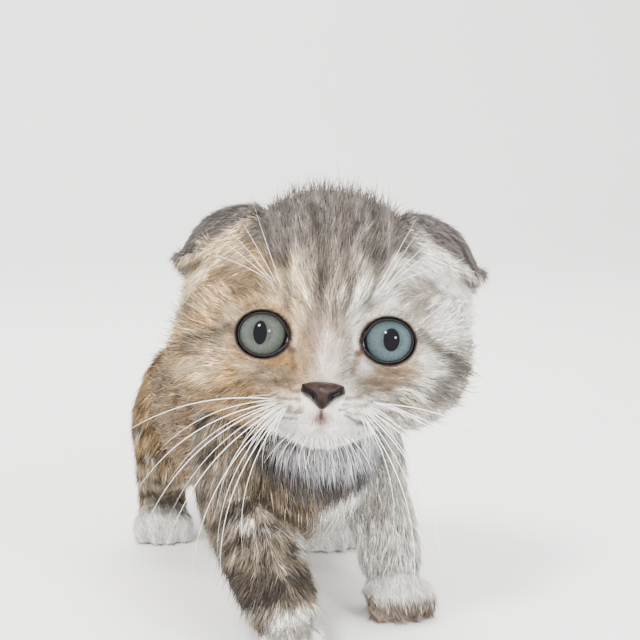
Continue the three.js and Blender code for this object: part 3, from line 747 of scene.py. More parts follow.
def leg_markings(points, ripple):
    """Broken bands, dark on the right legs, and a white patch low on the right foreleg."""
    x, y, z = to_body(points).T
    front = smooth(-60.0, -70.0, y)
    right = smooth(3.0, -5.0, x)
    high = smooth(22.0, 40.0, z)
    c = lay(all_over(linear(222, 219, 215), points), linear(198, 195, 189), high)
    c = lay(c, lay(all_over(linear(184, 173, 156), points), FLANK, high), right)
    c = lay(c, linear(160, 151, 139), right * front)
    flat = points * np.array([0.4, 0.4, 1.0])
    broken = lattice_noise(flat, 3.1, 41) + 0.5 * lattice_noise(flat, 1.4, 42)
    slant = z + 0.42 * np.abs(x) + 0.3 * y * front + 2.4 * lattice_noise(points, 9.0, 43)
    bands = smooth(-0.15, 0.75, 0.7 * np.sin(slant * 0.66 + 0.9 * ripple[0]) + 0.9 * broken)
    above_paw = smooth(7.0, 13.0, z)
    c = lay(c, lay(all_over(BAND, points), DARK, front), bands * (0.2 + 0.66 * right) * above_paw)
    c = lay(c, WHITE, 0.55 * smooth(0.4, 1.0, broken) * above_paw)
    low_band = smooth(19.0, 21.0, z + ripple[0]) * smooth(28.0, 25.5, z + ripple[0])
    c = lay(c, DARK, 0.7 * right * front * low_band)
    return lay(c, WHITE, front * blot(x, z, (-11.0, 15.0), (6.0, 3.2), 12, 0.35))


def paw_markings(points, ripple):
    """White paws, dark above the right ones, with a brown edge on the left forepaw, and pink soles."""
    x, y, z = to_body(points).T
    c = all_over(WHITE, points)
    c = lay(c, BAND, 0.6 * smooth(8.0, 13.0, z + 3.0 * ripple[1]) * smooth(4.0, -4.0, x))
    edge = smooth(12.0, 20.0, x) * smooth(-56.0, -66.0, y) * smooth(9.0, 5.0, z)
    c = lay(c, linear(120, 98, 78), 0.75 * edge)
    return lay(c, SOLE, smooth(0.9, 0.3, z))


def tail_markings(points, ripple):
    """Rings, and a dark tip."""
    x, y, _ = to_body(points).T
    c = lay(all_over(linear(184, 172, 156), points), FLANK, 0.6 * smooth(4.0, -4.0, x))
    c = lay(c, BAND, 0.75 * smooth(-0.1, 0.7, np.sin(y * 0.52 + 1.4 * ripple[0]) + 0.3 * ripple[1]))
    return lay(c, DARK, 0.7 * smooth(126.0, 136.0, y))


def markings(points, shares):
    """The colour of the coat at each point, in light."""
    ripple = (
        0.6 * lattice_noise(points, 5.0, 3) + 0.4 * lattice_noise(points, 2.1, 4),
        0.6 * lattice_noise(points, 4.2, 5) + 0.4 * lattice_noise(points, 1.7, 6),
        0.6 * lattice_noise(points, 6.5, 13) + 0.5 * lattice_noise(points, 2.6, 14),
    )
    head = to_head(points)
    body = body_markings(points, ripple)
    parts = (
        face_markings(head, ripple),
        ear_markings(head, ripple),
        body,
        body,
        leg_markings(points, ripple),
        paw_markings(points, ripple),
        tail_markings(points, ripple),
    )
    c = sum(shares[:, k : k + 1] * parts[k] for k in range(len(REGIONS)))
    mottle = 0.09 * lattice_noise(points, 1.3, 8) + 0.07 * lattice_noise(points, 3.4, 9)
    return np.clip(c, 0.0, 1.0) ** ALBEDO_POWER * (1.0 + mottle)[:, None]


# Materials

NUMBER = "NodeSocketFloat"
COLOUR = "NodeSocketColor"


def set_inputs(tree, node, inputs):
    """Set each input of a node to a value, or link it to another node's output."""
    for name, value in inputs.items():
        if isinstance(value, bpy.types.NodeSocket):
            tree.links.new(value, node.inputs[name])
        else:
            node.inputs[name].default_value = value


def add_node(tree, kind, inputs, **settings):
    """A new shader node, with its settings and then its inputs."""
    node = tree.nodes.new(f"ShaderNode{kind}")
    for name, value in settings.items():
        setattr(node, name, value)
    set_inputs(tree, node, inputs)
    return node


def computed(tree, operation, *values):
    """The result of a sum on numbers or other nodes' outputs."""
    return add_node(tree, "Math", dict(enumerate(values)), operation=operation).outputs[0]


def ranged(tree, value, start, end, low=0.0, high=1.0, steps="LINEAR"):
    """A value that goes from low to high as another goes from start to end."""
    inputs = {"Value": value, "From Min": start, "From Max": end, "To Min": low, "To Max": high}
    return add_node(tree, "MapRange", inputs, interpolation_type=steps).outputs["Result"]


def mixed(tree, share, first, second, blend="MIX"):
    """Two colours, mixed by a share of the second."""
    inputs = {"Factor": share, "A": first, "B": second}
    return add_node(tree, "Mix", inputs, data_type="RGBA", blend_type=blend).outputs["Result"]


def noise_in_place(tree, inputs):
    """Noise that stays put on the piece's own place in the model."""
    place = add_node(tree, "TexCoord", {})
    return add_node(tree, "TexNoise", {"Vector": place.outputs["Object"], **inputs}).outputs["Fac"]


def new_material(name):
    material = bpy.data.materials.new(name)
    material.use_nodes = True
    tree = material.node_tree
    tree.nodes.clear()
    shader = add_node(tree, "BsdfPrincipled", {})
    add_node(tree, "OutputMaterial", {"Surface": shader.outputs["BSDF"]})
    return material, tree, shader


def new_effect(name, inputs, outputs):
    """An empty node group with named inputs and outputs, and the two nodes that stand for them."""
    group = bpy.data.node_groups.new(name, "ShaderNodeTree")
    for title, kind in inputs:
        group.interface.new_socket(title, in_out="INPUT", socket_type=kind)
    for title, kind in outputs:
        group.interface.new_socket(title, in_out="OUTPUT", socket_type=kind)
    return group, group.nodes.new("NodeGroupInput"), group.nodes.new("NodeGroupOutput")


def fur_effect():
    """A node group: a coat colour with fine strands of lighter and darker hair in it."""
    group = bpy.data.node_groups.get("fur_strands")
    if group:
        return group
    group, start, end = new_effect(
        "fur_strands",
        (("Colour", COLOUR), ("Strand Size", NUMBER), ("Contrast", NUMBER)),
        (("Colour", COLOUR), ("Roughness", NUMBER), ("Height", NUMBER)),
    )
    noise = noise_in_place(group, {"Scale": start.outputs["Strand Size"], "Detail": 3.0})
    shift = computed(group, "SUBTRACT", noise, 0.5)
    depth = computed(group, "MULTIPLY_ADD", shift, start.outputs["Contrast"], 1.0)
    shade = add_node(group, "VectorMath", {0: start.outputs["Colour"], "Scale": depth}, operation="SCALE")
    rough = ranged(group, noise, 0.0, 1.0, 0.55, 0.8)
    set_inputs(group, end, {"Colour": shade.outputs["Vector"], "Roughness": rough, "Height": noise})
    return group


def mottle_effect():
    """A node group: a colour that wavers from dark to light, and the noise that it follows."""
    group = bpy.data.node_groups.get("mottle")
    if group:
        return group
    group, start, end = new_effect(
        "mottle",
        (("Dark", COLOUR), ("Light", COLOUR), ("Scale", NUMBER), ("From", NUMBER), ("To", NUMBER)),
        (("Colour", COLOUR), ("Noise", NUMBER)),
    )
    noise = noise_in_place(group, {"Scale": start.outputs["Scale"]})
    share = ranged(group, noise, start.outputs["From"], start.outputs["To"])
    colour = mixed(group, share, start.outputs["Dark"], start.outputs["Light"])
    set_inputs(group, end, {"Colour": colour, "Noise": noise})
    return group


def toned(colour, tone):
    """A colour made darker or lighter, as light."""
    return (*np.minimum(np.array(colour[:3]) * tone, 1.0), 1.0)


def mottled(tree, dark, light, scale, span=(0.0, 1.0)):
    """The mottle in a material. `span` is where in the noise the dark ends and the light starts."""
    effect = add_node(tree, "Group", {}, node_tree=mottle_effect())
    set_inputs(tree, effect, {"Dark": dark, "Light": light, "Scale": scale, "From": span[0], "To": span[1]})
    return effect


def fur_material(name, strand_size, contrast, bump):
    material, tree, shader = new_material(name)
    attribute = add_node(tree, "Attribute", {}, attribute_name="coat_colour")
    effect = add_node(tree, "Group", {}, node_tree=fur_effect())
    inputs = {"Colour": attribute.outputs["Color"], "Strand Size": strand_size, "Contrast": contrast}
    set_inputs(tree, effect, inputs)
    finish = {
        "Base Color": effect.outputs["Colour"],
        "Roughness": effect.outputs["Roughness"],
        "Specular IOR Level": 0.18,
        "Sheen Weight": 0.04,
        "Sheen Roughness": 0.5,
        "Sheen Tint": (1.0, 0.98, 0.95, 1.0),
    }
    set_inputs(tree, shader, finish)
    if bump:
        height = effect.outputs["Height"]
        relief = add_node(tree, "Bump", {"Strength": bump, "Distance": 0.0003, "Height": height})
        set_inputs(tree, shader, {"Normal": relief.outputs["Normal"]})
    return material


# Pieces

SWELL = 0.26 * MM  # closes the gaps between the solids before they become one skin
CREASE = 0.2  # how deep the mouth's crease is
LID_PULL = 0.7  # how far the lids are drawn back
# painted shade: the skin between the tufts is painted darker than they are, for the shade in the gaps of the
# coat
PAINTED_GAP_SHADE = 0.6  # the skin between the tufts is darker than they are


def crease_mouth(points, head):
    """Sink the crease of the mouth, under the whisker pads."""
    x = head[:, 0]
    lip_z = -25.2 + 0.035 * x**2 - 1.1 * np.exp(-((np.abs(x) - 4.0) ** 2) / 6.0)
    crease = np.exp(-(((head[:, 2] - lip_z) / 0.8) ** 2)) * smooth(10.0, 7.0, np.abs(x))
    crease = crease * smooth(-22.0, -26.0, head[:, 1])
    return points + (crease * CREASE)[:, None] * (HEAD_ROTATION @ np.array([0.0, 1.0, 0.0]))


def open_lids(points, head):
    """Open the lids as wide as the eyes do in life."""
    for sign in (-1, 1):
        from_eye = head - np.array([sign * EYE_APART / 2, 0.0, EYE_HEIGHT])
        ring = eye_ring(head, sign, OPENING)
        pull = smooth(0.5, 0.8, ring) * smooth(1.7, 1.1, ring) * smooth(-16.0, -20.0, head[:, 1])
        outward = unit(from_eye * np.array([1.0, 0.0, 1.0])) * (LID_PULL * pull)[:, None]
        points = points + outward @ HEAD_ROTATION.T
    return points


def make_skin(settings):
    """One skin over all the flesh, sunk under the coat's outline."""
    skin = copy_of_nodes([*FLESH, *WHISKERS], "skin")
    swell = skin.modifiers.new("swell", "DISPLACE")
    swell.strength = SWELL
    swell.mid_level = 0.0
    remesh = skin.modifiers.new("remesh", "REMESH")
    remesh.mode = "VOXEL"
    remesh.voxel_size = settings.voxel
    soften = skin.modifiers.new("soften", "SMOOTH")
    soften.factor = 0.5
    soften.iterations = 7
    apply_modifiers(skin)
    mesh = skin.data
    points = mesh_points(mesh) * 1000.0
    shares = region_shares(mesh, points)
    points = points - mesh_normals(mesh) * coat_depth(points, shares)[:, None]
    head = to_head(points)
    points = open_lids(crease_mouth(points, head), head)
    points[:, 2] = np.maximum(points[:, 2], 0.05)
    set_points(mesh, points)
    # the skin takes the coat's markings, darkened as painted shade between the tufts
    colour_attribute(mesh, markings(points, shares) * PAINTED_GAP_SHADE)
    mesh.polygons.foreach_set("use_smooth", np.ones(len(mesh.polygons), bool))
    pick(skin)
    bpy.ops.object.mode_set(mode="EDIT")
    bpy.ops.mesh.select_all(action="SELECT")
    bpy.ops.uv.smart_project(angle_limit=math.radians(66), island_margin=0.004)
    bpy.ops.object.mode_set(mode="OBJECT")
    mesh.materials.append(fur_material("skin_and_underfur", 900.0, 0.3, 0.5))
    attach(skin, "root")
    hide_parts(*FLESH)
    return skin, shares


# The skin, and the regions' shares at its points, kept for the coat's operator
SKIN = {}


class KITTEN_OT_skin(Operator):
    """Make the skin that replaces the flesh solids"""

    bl_idname = "kitten.skin"
    bl_label = "Skin"

    def execute(self, context):
        skin, shares = make_skin(context.scene.kitten)
        SKIN["piece"] = skin
        SKIN["shares"] = shares
        return {"FINISHED"}


def fur_length(points, shares, settings):
    """Length, width and lift of the tufts at each root, in millimetres and degrees."""
    length = 1000.0 * by_region(
        shares,
        head=settings.crown_fur,
        ear=settings.ear_fur,
        neck=settings.body_fur,
        torso=settings.body_fur,
        leg=settings.leg_fur,
        paw=settings.leg_fur * 0.6,
        tail=settings.body_fur * 0.8,
    )
    width = by_region(shares, head=0.32, ear=0.28, neck=0.36, torso=0.38, leg=0.32, paw=0.26, tail=0.36)
    lift = by_region(shares, head=23.0, ear=14.0, neck=20.0, torso=16.0, leg=14.0, paw=12.0, tail=16.0)
    head = to_head(points)
    out, up = np.abs(head[:, 0]), head[:, 2]
    in_face = shares[:, HEAD] * smooth(-4.0, -20.0, head[:, 1])
    length = length * (1 - in_face) + settings.face_fur * 1000.0 * in_face
    width = width * (1 - in_face) + 0.21 * in_face
    lift = lift * (1 - in_face) + 16.0 * in_face
    snout = in_face * smooth(26.0, 6.0, np.hypot(out, up + 17.0))
    length = length * (1 - 0.66 * snout)
    width = width * (1 - 0.2 * snout)
    rings = [smooth(2.3, 1.2, eye_ring(head, sign, BARE_RING)) for sign in (-1, 1)]
    length = length * (1 - 0.55 * in_face * np.maximum(*rings))
    lift = lift + 20.0 * shares[:, HEAD] * smooth(20.0, 32.0, up)
    cheek = shares[:, HEAD] * smooth(26.0, 35.0, out) * smooth(8.0, -4.0, up)
    fluff = cheek * smooth(0.0, -20.0, head[:, 0])
    length = length + 1.2 * cheek + 1.6 * fluff
    lift = lift - 4.0 * cheek + 8.0 * fluff
    flap = shares[:, HEAD] * ear_flap(head)
    length = length * (1 - 0.35 * flap)
    lift = lift * (1 - 0.5 * flap)
    length = length + 1.6 * in_face * smooth(-25.0, -29.0, up)
    hollow = under_fold(head) * (shares[:, HEAD] + shares[:, EAR])
    length = length * (1 - hollow) + 6.2 * hollow
    lift = lift * (1 - hollow) + 36.0 * hollow
    length = length * (1 - 0.4 * shares[:, EAR] * smooth(35.0, 38.0, out))
    length = length + 0.8 * fold_rim(head) * shares[:, EAR]
    belly = (shares[:, TORSO] + shares[:, NECK]) * smooth(34.0, 24.0, points[:, 2])
    length = length + 4.0 * belly + 7.0 * bib_share(points, shares)
    return length, width, lift


def coat_density(points, shares):
    """Tufts on each square millimetre, before the whole is set to the wanted count."""
    density = by_region(shares, head=4.2, ear=9.0, neck=3.4, torso=3.1, leg=4.2, paw=6.0, tail=3.2)
    head = to_head(points)
    in_face = shares[:, HEAD] * smooth(2.0, -16.0, head[:, 1])
    density = density * (1 - in_face) + 11.0 * in_face
    density = density * smooth(0.75, 0.35, bare_share(points))
    density = density * (1 + 1.5 * under_fold(head))
    return density * smooth(0.4, 1.5, points[:, 2])


def scatter_roots(skin, shares, wanted, rng):
    """Where the tufts grow: places, normals, shares of the regions, and spots on the skin's map."""
    mesh = skin.data
    mesh.calc_loop_triangles()
    count = len(mesh.loop_triangles)
    faces = np.empty(count * 3, np.int32)
    mesh.loop_triangles.foreach_get("vertices", faces)
    faces = faces.reshape(-1, 3)
    loops = np.empty(count * 3, np.int32)
    mesh.loop_triangles.foreach_get("loops", loops)
    uv = np.empty(len(mesh.loops) * 2, np.float32)
    mesh.uv_layers[0].data.foreach_get("uv", uv)
    uv = uv.reshape(-1, 2)[loops.reshape(-1, 3)]
    points = mesh_points(mesh) * 1000.0
    normals = mesh_normals(mesh)
    a, b, c = points[faces].transpose(1, 0, 2)
    area = np.linalg.norm(np.cross(b - a, c - a), axis=1) / 2.0
    weight = area * coat_density((a + b + c) / 3.0, shares[faces].mean(1))
    steps = (np.arange(wanted) + rng.random(wanted)) / wanted
    chosen = np.searchsorted(np.cumsum(weight) / weight.sum(), steps)
    chosen = np.minimum(chosen, count - 1)
    u, v = rng.random(wanted), rng.random(wanted)
    flip = u + v > 1.0
    u[flip], v[flip] = 1.0 - u[flip], 1.0 - v[flip]
    bary = np.stack([1.0 - u - v, u, v], 1)[:, :, None]

    def at_roots(corners):
        return (corners * bary).sum(1)

    root = at_roots(points[faces[chosen]])
    normal = unit(at_roots(normals[faces[chosen]]))
    return root, normal, at_roots(shares[faces[chosen]]), at_roots(uv[chosen])


def shape_tufts(root, normal, share, settings, rng):
    """The lie and length of each tuft, and the corners of its foot, waist and tip."""
    wanted = len(root)
    lie = lie_of_coat(root, normal, share)
    length, width, lift = fur_length(root, share, settings)
    # neighbouring tufts swing together a little, and each has its own turn and length
    swing = 0.28 * lattice_noise(root, 4.0, 21) + 0.16 * lattice_noise(root, 1.6, 22)
    swing = swing + rng.normal(0.0, 0.13, wanted)
    side = np.cross(normal, lie)
    lie = unit(lie * np.cos(swing)[:, None] + side * np.sin(swing)[:, None])
    side = np.cross(normal, lie)
    length = length * np.clip(rng.normal(1.0, 0.16, wanted), 0.55, 1.5)
    lift = np.radians(lift * np.clip(rng.normal(1.0, 0.28, wanted), 0.3, 2.0))
    # a few hairs stray out of the coat, more of them on the crown
    on_top = share[:, HEAD] * smooth(22.0, 32.0, to_head(root)[:, 2])
    stray = rng.random(wanted) < 0.04 + 0.07 * on_top
    length = np.where(stray, length * (1.3 + 0.35 * on_top), length)
    width = np.where(stray, width * 0.6, width)
    lift = np.where(stray, lift + 0.24 + 0.3 * on_top * rng.random(wanted), lift)

    def leaning(lift):
        return lie * np.cos(lift)[:, None] + normal * np.sin(lift)[:, None]

    half = (width / 2.0)[:, None]
    sunk = root - normal * 0.25
    middle = root + leaning(lift * 1.25) * (length * 0.4)[:, None]
    tip = middle + leaning(lift * 0.45) * (length * 0.6)[:, None]
    tip[:, 2] = np.maximum(tip[:, 2], 0.15)
    middle[:, 2] = np.maximum(middle[:, 2], 0.4)
    foot = [sunk + side * half, sunk - side * half, sunk + normal * half * 0.8]
    waist = [middle + side * half, middle - side * half, middle + normal * half * 0.7]
    return lie, length, {"short": [*foot, tip], "long": [sunk, *waist, tip]}


def tuft_tones(root, lie, length, share, rng):
    """The colour of each tuft, in strands of lighter and darker hair, partly painted shade between the
    tufts.
    """
    tone = markings(root + lie * (length * 0.35)[:, None], share)
    strand = 0.75 * strands(root, lie, 0.4, 1.8, 51) + 0.6 * strands(root, lie, 1.0, 3.6, 52)
    # the strands are partly the hair's own tone and partly painted shade between the tufts, deeper on pale
    # fur
    deep = 0.42 - 0.2 * smooth(0.45, 0.8, tone.mean(1))
    tone = tone * np.exp(deep * (strand - 0.1))[:, None]
    tone = tone * np.clip(rng.normal(1.0, 0.26, (len(root), 1)), 0.4, 1.8)
    return tone * (1.0 + 0.03 * rng.normal(size=(len(root), 3)))


STRAIGHT = 3.9  # shorter hairs than this are straight, and the others bend over halfway up
PATCH = 0.0015  # how much of the skin's map one tuft takes up
# Of each kind of tuft: its triangles, and every corner's shade and place in the patch. The shade is darker
# at the root and lighter at the tip: partly the hair's own banding, partly painted shade deep in the coat.
TUFTS = {
    "short": (
        np.array([[0, 2, 1], [0, 1, 3], [1, 2, 3], [2, 0, 3]]),
        np.array([0.55, 0.55, 0.6, 1.22]),
        np.array([[-1, -1], [1, -1], [0, -0.8], [0, 1]]),
    ),
    "long": (
        np.array([[1, 2, 4], [2, 3, 4], [3, 1, 4], [2, 1, 0], [3, 2, 0], [1, 3, 0]]),
        np.array([0.5, 0.92, 0.92, 1.0, 1.22]),
        np.array([[0, -1], [-0.9, 0.1], [0.9, 0.1], [0, 0.2], [0, 1]]),
    ),
}


def make_coat(settings):
    """All the tufts, in pieces that are cut by place, so that each is a patch of the coat."""
    rng = np.random.default_rng(11)
    root, normal, share, spot = scatter_roots(SKIN["piece"], SKIN["shares"], settings.tufts, rng)
    lie, length, corners = shape_tufts(root, normal, share, settings, rng)
    tone = tuft_tones(root, lie, length, share, rng)
    material = fur_material("coat_fur", 2600.0, 0.22, 0.0)
    for kind, (shape, shade, patch) in TUFTS.items():
        wearers = np.flatnonzero((length < STRAIGHT) == (kind == "short"))
        order = wearers[np.lexsort((root[wearers, 1], share[wearers].argmax(1)))]
        points = np.stack(corners[kind], 1)
        pieces = max(1, math.ceil(len(order) * len(shape) / settings.piece_faces))
        for k, part in enumerate(np.array_split(order, pieces)):
            triangles = (shape[None] + len(shade) * np.arange(len(part))[:, None, None]).reshape(-1, 3)
            piece = mesh_from(f"coat_{kind}_{k + 1}", points[part].reshape(-1, 3), triangles)
            # each corner takes its tuft's tone, darker at the root: the hair's banding, and painted shade
            # deep in the coat
            colours = tone[part][:, None, :] * shade[None, :, None]
            colour_attribute(piece.data, colours.reshape(-1, 3))
            layer = piece.data.uv_layers.new(name="OFBake")
            places = (spot[part][:, None, :] + patch[None] * PATCH).reshape(-1, 2)
            layer.data.foreach_set("uv", places[triangles.ravel()].astype(np.float32).ravel())
            piece.data.materials.append(material)
            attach(piece, "root")


class KITTEN_OT_coat(Operator):
    """Grow the coat's tufts over the skin"""

    bl_idname = "kitten.coat"
    bl_label = "Coat"

    def execute(self, context):
        make_coat(context.scene.kitten)
        return {"FINISHED"}


# Stops of the iris, from its middle to its edge: place, and share of its colour.
IRIS_RAMP = ((0.0, 0.6), (0.36, 0.8), (0.5, 1.15), (0.74, 1.0), (0.86, 0.7), (0.905, 0.1), (1.0, 0.02))
PUPIL_COLOUR = (0.004, 0.004, 0.005, 1.0)
EYE_WHITE = (0.17, 0.15, 0.17, 1.0)


def eye_material(name, iris, pupil_size):
    """Iris, pupil and white, painted from the eye's own place map, under a wet clear coat."""
    material, tree, shader = new_material(name)
    place = add_node(tree, "Attribute", {}, attribute_name="iris_place")
    split = add_node(tree, "SeparateXYZ", {0: place.outputs["Vector"]})
    x, z = split.outputs["X"], split.outputs["Z"]

    def length_of(first, second):
        squares = [computed(tree, "MULTIPLY", value, value) for value in (first, second)]
        return computed(tree, "SQRT", computed(tree, "ADD", *squares))

    radius = length_of(x, z)
    angle = computed(tree, "ARCTAN2", z, x)
    around = add_node(
        tree,
        "CombineXYZ",
        {
            "X": computed(tree, "MULTIPLY", computed(tree, "SINE", angle), 2.2),
            "Y": computed(tree, "MULTIPLY", computed(tree, "COSINE", angle), 2.2),
            "Z": computed(tree, "MULTIPLY", radius, 0.16),
        },
    )
    noise = add_node(tree, "TexNoise", {"Scale": 9.0, "Detail": 5.0, "Vector": around.outputs[0]})
    fibres = noise.outputs["Fac"]
    ramp = add_node(tree, "ValToRGB", {"Fac": computed(tree, "DIVIDE", radius, IRIS_EDGE)})
    while len(ramp.color_ramp.elements) < len(IRIS_RAMP):
        ramp.color_ramp.elements.new(0.5)
    for element, (position, strength) in zip(ramp.color_ramp.elements, IRIS_RAMP):
        element.position = position
        element.color = (*(np.array(iris[:3]) * strength), 1.0)
    # the upper lid and its lashes shade the top of the iris
    shaded = ranged(tree, z, 5.8, 1.5, 0.35, 1.0, "SMOOTHSTEP")
    light = computed(tree, "MULTIPLY", computed(tree, "MULTIPLY_ADD", fibres, 1.5, 0.3), shaded)
    lit = add_node(tree, "VectorMath", {0: ramp.outputs["Color"], "Scale": light}, operation="SCALE")
    # a tall oval pupil, then the white and the third lid, beyond the iris
    oval = length_of(*(computed(tree, "DIVIDE", *pair) for pair in zip((x, z), pupil_size)))
    pupil = ranged(tree, oval, 1.06, 0.94, steps="SMOOTHSTEP")
    painted = mixed(tree, pupil, lit.outputs["Vector"], PUPIL_COLOUR)
    white = ranged(tree, radius, 6.5, 6.8, steps="SMOOTHSTEP")
    finish = {
        "Base Color": mixed(tree, white, painted, EYE_WHITE),
        "Roughness": ranged(tree, fibres, 0.0, 1.0, 0.16, 0.3),
        "Specular IOR Level": 0.0,
        "Coat Weight": 1.0,
        "Coat Roughness": 0.012,
        "Coat IOR": 1.2,
    }
    set_inputs(tree, shader, finish)
    return material


def make_eye(settings, name, sign):
    """An eyeball with its raised cornea, shaped from a sphere, and painted from its own place map."""
    deselect()
    bpy.ops.mesh.primitive_uv_sphere_add(segments=64, ring_count=48, radius=EYEBALL)
    eye = bpy.context.active_object
    eye.name = f"{name}_glass"
    points = mesh_points(eye.data)
    # the sphere's poles turn to the front and the back
    points = np.stack([points[:, 0], -points[:, 2], points[:, 1]], 1)
    away = np.arccos(np.clip(-points[:, 1] / EYEBALL, -1.0, 1.0))
    bulge = CORNEA * np.cos(np.clip(away / math.radians(46.0), 0.0, 1.0) * math.pi / 2.0)
    shaped = points * (1.0 + bulge / EYEBALL)[:, None]
    # each eye looks a little outwards and up
    gaze = Matrix.Rotation(math.radians(4.5) * sign, 3, "Z") @ Matrix.Rotation(math.radians(-3.0), 3, "X")
    placed = from_head(shaped @ np.array(gaze).T + np.array([sign * EYE_APART / 2, EYE_DEPTH, EYE_HEIGHT]))
    set_points(eye.data, placed)
    attribute = eye.data.attributes.new("iris_place", "FLOAT_VECTOR", "POINT")
    attribute.data.foreach_set("vector", points.astype(np.float32).ravel())
    round_shell(eye)
    iris = settings.right_iris if sign < 0 else settings.left_iris
    pupil = (1.6, 2.8) if sign < 0 else (1.9, 2.7)
    eye.data.materials.append(eye_material(f"{name}_iris", iris, pupil))
    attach(eye, "root")
    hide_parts(name)


def lid_edge(sign, angle):
    """Points of the lids' edge, an oval just outside the eyeball that droops to the inner corner."""
    inner = np.maximum(0.0, -sign * np.cos(angle)) ** 6
    across = np.cos(angle) * (OPENING[0] - 0.35) * (1 + 0.1 * inner)
    up = np.sin(angle) * (OPENING[1] - 0.35) * (1 - 0.4 * inner) - 1.1 * inner
    depth = np.sqrt(np.maximum((EYEBALL + 0.45) ** 2 - across**2 - up**2, 4.0))
    middle = np.array([sign * EYE_APART / 2, EYE_DEPTH, EYE_HEIGHT])
    return middle + np.stack([across, -depth, up], -1)


def make_lids(name, sign, material):
    """The dark moist edge of the two lids, as one rounded rim, shaped from a ring."""
    deselect()
    bpy.ops.mesh.primitive_torus_add(
        major_segments=72, minor_segments=12, major_radius=1.0, minor_radius=0.1
    )
    rim = bpy.context.active_object
    rim.name = f"{name}_lids"
    ring = mesh_points(rim.data)
    angle = np.arctan2(ring[:, 1], ring[:, 0])
    outward = (np.hypot(ring[:, 0], ring[:, 1]) - 1.0) * 10.0
    raised = ring[:, 2] * 10.0
    inner = np.maximum(0.0, -sign * np.cos(angle)) ** 4
    thick = 0.27 + 0.2 * inner
    shift = np.stack([np.cos(angle) * outward * thick, -raised * 0.5, np.sin(angle) * outward * thick], 1)
    placed = from_head(lid_edge(sign, angle) + shift)
    set_points(rim.data, placed)
    round_shell(rim)
    rim.data.materials.append(material)
    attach(rim, "root")


def leather_material(name, colour, pebble, gloss, shade=None):
    """Pebbled moist skin. `shade` names the attribute of painted shade that darkens it in places."""
    material, tree, shader = new_material(name)
    mottle = mottled(tree, toned(colour, 0.62), toned(colour, 1.35), pebble * 0.3, (0.3, 0.75))
    base = mottle.outputs["Colour"]
    if shade:
        depth = add_node(tree, "Attribute", {}, attribute_name=shade)
        base = mixed(tree, 1.0, base, depth.outputs["Color"], "MULTIPLY")
    place = add_node(tree, "TexCoord", {})
    grain = add_node(tree, "TexVoronoi", {"Scale": pebble, "Vector": place.outputs["Object"]})
    height = grain.outputs["Distance"]
    relief = add_node(tree, "Bump", {"Strength": 0.5, "Distance": 0.00012, "Height": height})
    finish = {
        "Base Color": base,
        "Normal": relief.outputs["Normal"],
        "Roughness": ranged(tree, mottle.outputs["Noise"], 0.0, 1.0, gloss, gloss + 0.22),
        "Specular IOR Level": 0.2,
        "Subsurface Weight": 0.1,
        "Subsurface Radius": (0.0012, 0.0005, 0.0003),
    }
    set_inputs(tree, shader, finish)
    return material


class KITTEN_OT_eyes(Operator):
    """Make both eyes and the edges of their lids"""

    bl_idname = "kitten.eyes"
    bl_label = "Eyes and lids"

    def execute(self, context):
        settings = context.scene.kitten
        rim = leather_material("lid_leather", (0.012, 0.008, 0.008, 1.0), 2500.0, 0.42)
        for name, sign in zip(EYES, (-1, 1)):
            make_eye(settings, name, sign)
            make_lids(name, sign, rim)
        return {"FINISHED"}


class KITTEN_OT_nose(Operator):
    """Make the nose leather with its nostrils"""

    bl_idname = "kitten.nose"
    bl_label = "Nose"

    def execute(self, context):
        settings = context.scene.kitten
        nose = copy_of_nodes(["nose"], "nose_leather")
        remesh = nose.modifiers.new("remesh", "REMESH")
        remesh.mode = "VOXEL"
        remesh.voxel_size = 0.22 * MM
        soften = nose.modifiers.new("soften", "SMOOTH")
        soften.iterations = 8
        apply_modifiers(nose)
        bpy.ops.object.shade_smooth()
        places = to_head(mesh_points(nose.data) * 1000.0)
        inside = np.zeros(len(places))
        for sign in (-1, 1):
            for start, end in zip(NOSTRIL, NOSTRIL[1:]):
                ends = [(sign * x, z) for x, z in (start, end)]
                inside = np.maximum(inside, stroke(places[:, 0], places[:, 2], *ends, 0.85, 0.35))
        fold = stroke(places[:, 0], places[:, 2], (0.0, -18.4), (0.0, -22.5), 0.22, 0.8)
        # painted shade: the nostrils are painted near black and the fold down the middle darker, for the
        # shade inside them; the leather is also darker towards the bottom
        shade = 1.0 - 0.97 * inside - 0.45 * fold - 0.35 * smooth(-18.5, -21.0, places[:, 2])
        colour_attribute(nose.data, np.clip(shade, 0.02, 1.0)[:, None] * np.ones((1, 3)), "nose_painted_shade")
        leather = leather_material("nose_leather", settings.nose_colour, 2200.0, 0.3, "nose_painted_shade")
        nose.data.materials.append(leather)
        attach(nose, "root")
        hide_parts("nose")
        return {"FINISHED"}


def tapered_hairs(title, paths, widths, sides=5):
    """Thin hairs along paths of points, each closed at its root and drawn out to a point."""
    points = []
    faces = []
    for path, width in zip(paths, widths):
        path = np.asarray(path)
        base = len(points)
        count = len(path)
        along = unit(np.gradient(path, axis=0))
        across = unit(np.cross(along, [0.13, 0.97, 0.2]))
        other = np.cross(along, across)
        for k in range(count - 1):
            radius = width / 2.0 * (1.0 - (k / (count - 1)) ** 1.5)
            for s in range(sides):
                turn = 2.0 * math.pi * s / sides
                points.append(path[k] + radius * (math.cos(turn) * across[k] + math.sin(turn) * other[k]))
        points.append(path[0])
        points.append(path[-1])
        root, tip = len(points) - 2, len(points) - 1
        for s in range(sides):
            n = (s + 1) % sides
            faces.append((root, base + n, base + s))
            for k in range(count - 2):
                p, q = base + k * sides, base + (k + 1) * sides
                faces.append((p + s, p + n, q + s))
                faces.append((p + n, q + n, q + s))
            last = base + (count - 2) * sides
            faces.append((last + s, last + n, tip))
    return mesh_from(title, np.array(points), np.array(faces))


def hair_path(start, aim, end, count=12):
    t = np.linspace(0.0, 1.0, count)[:, None]
    start, aim, end = np.array(start, float), np.array(aim, float), np.array(end, float)
    return (1 - t) ** 2 * start + 2 * t * (1 - t) * aim + t**2 * end


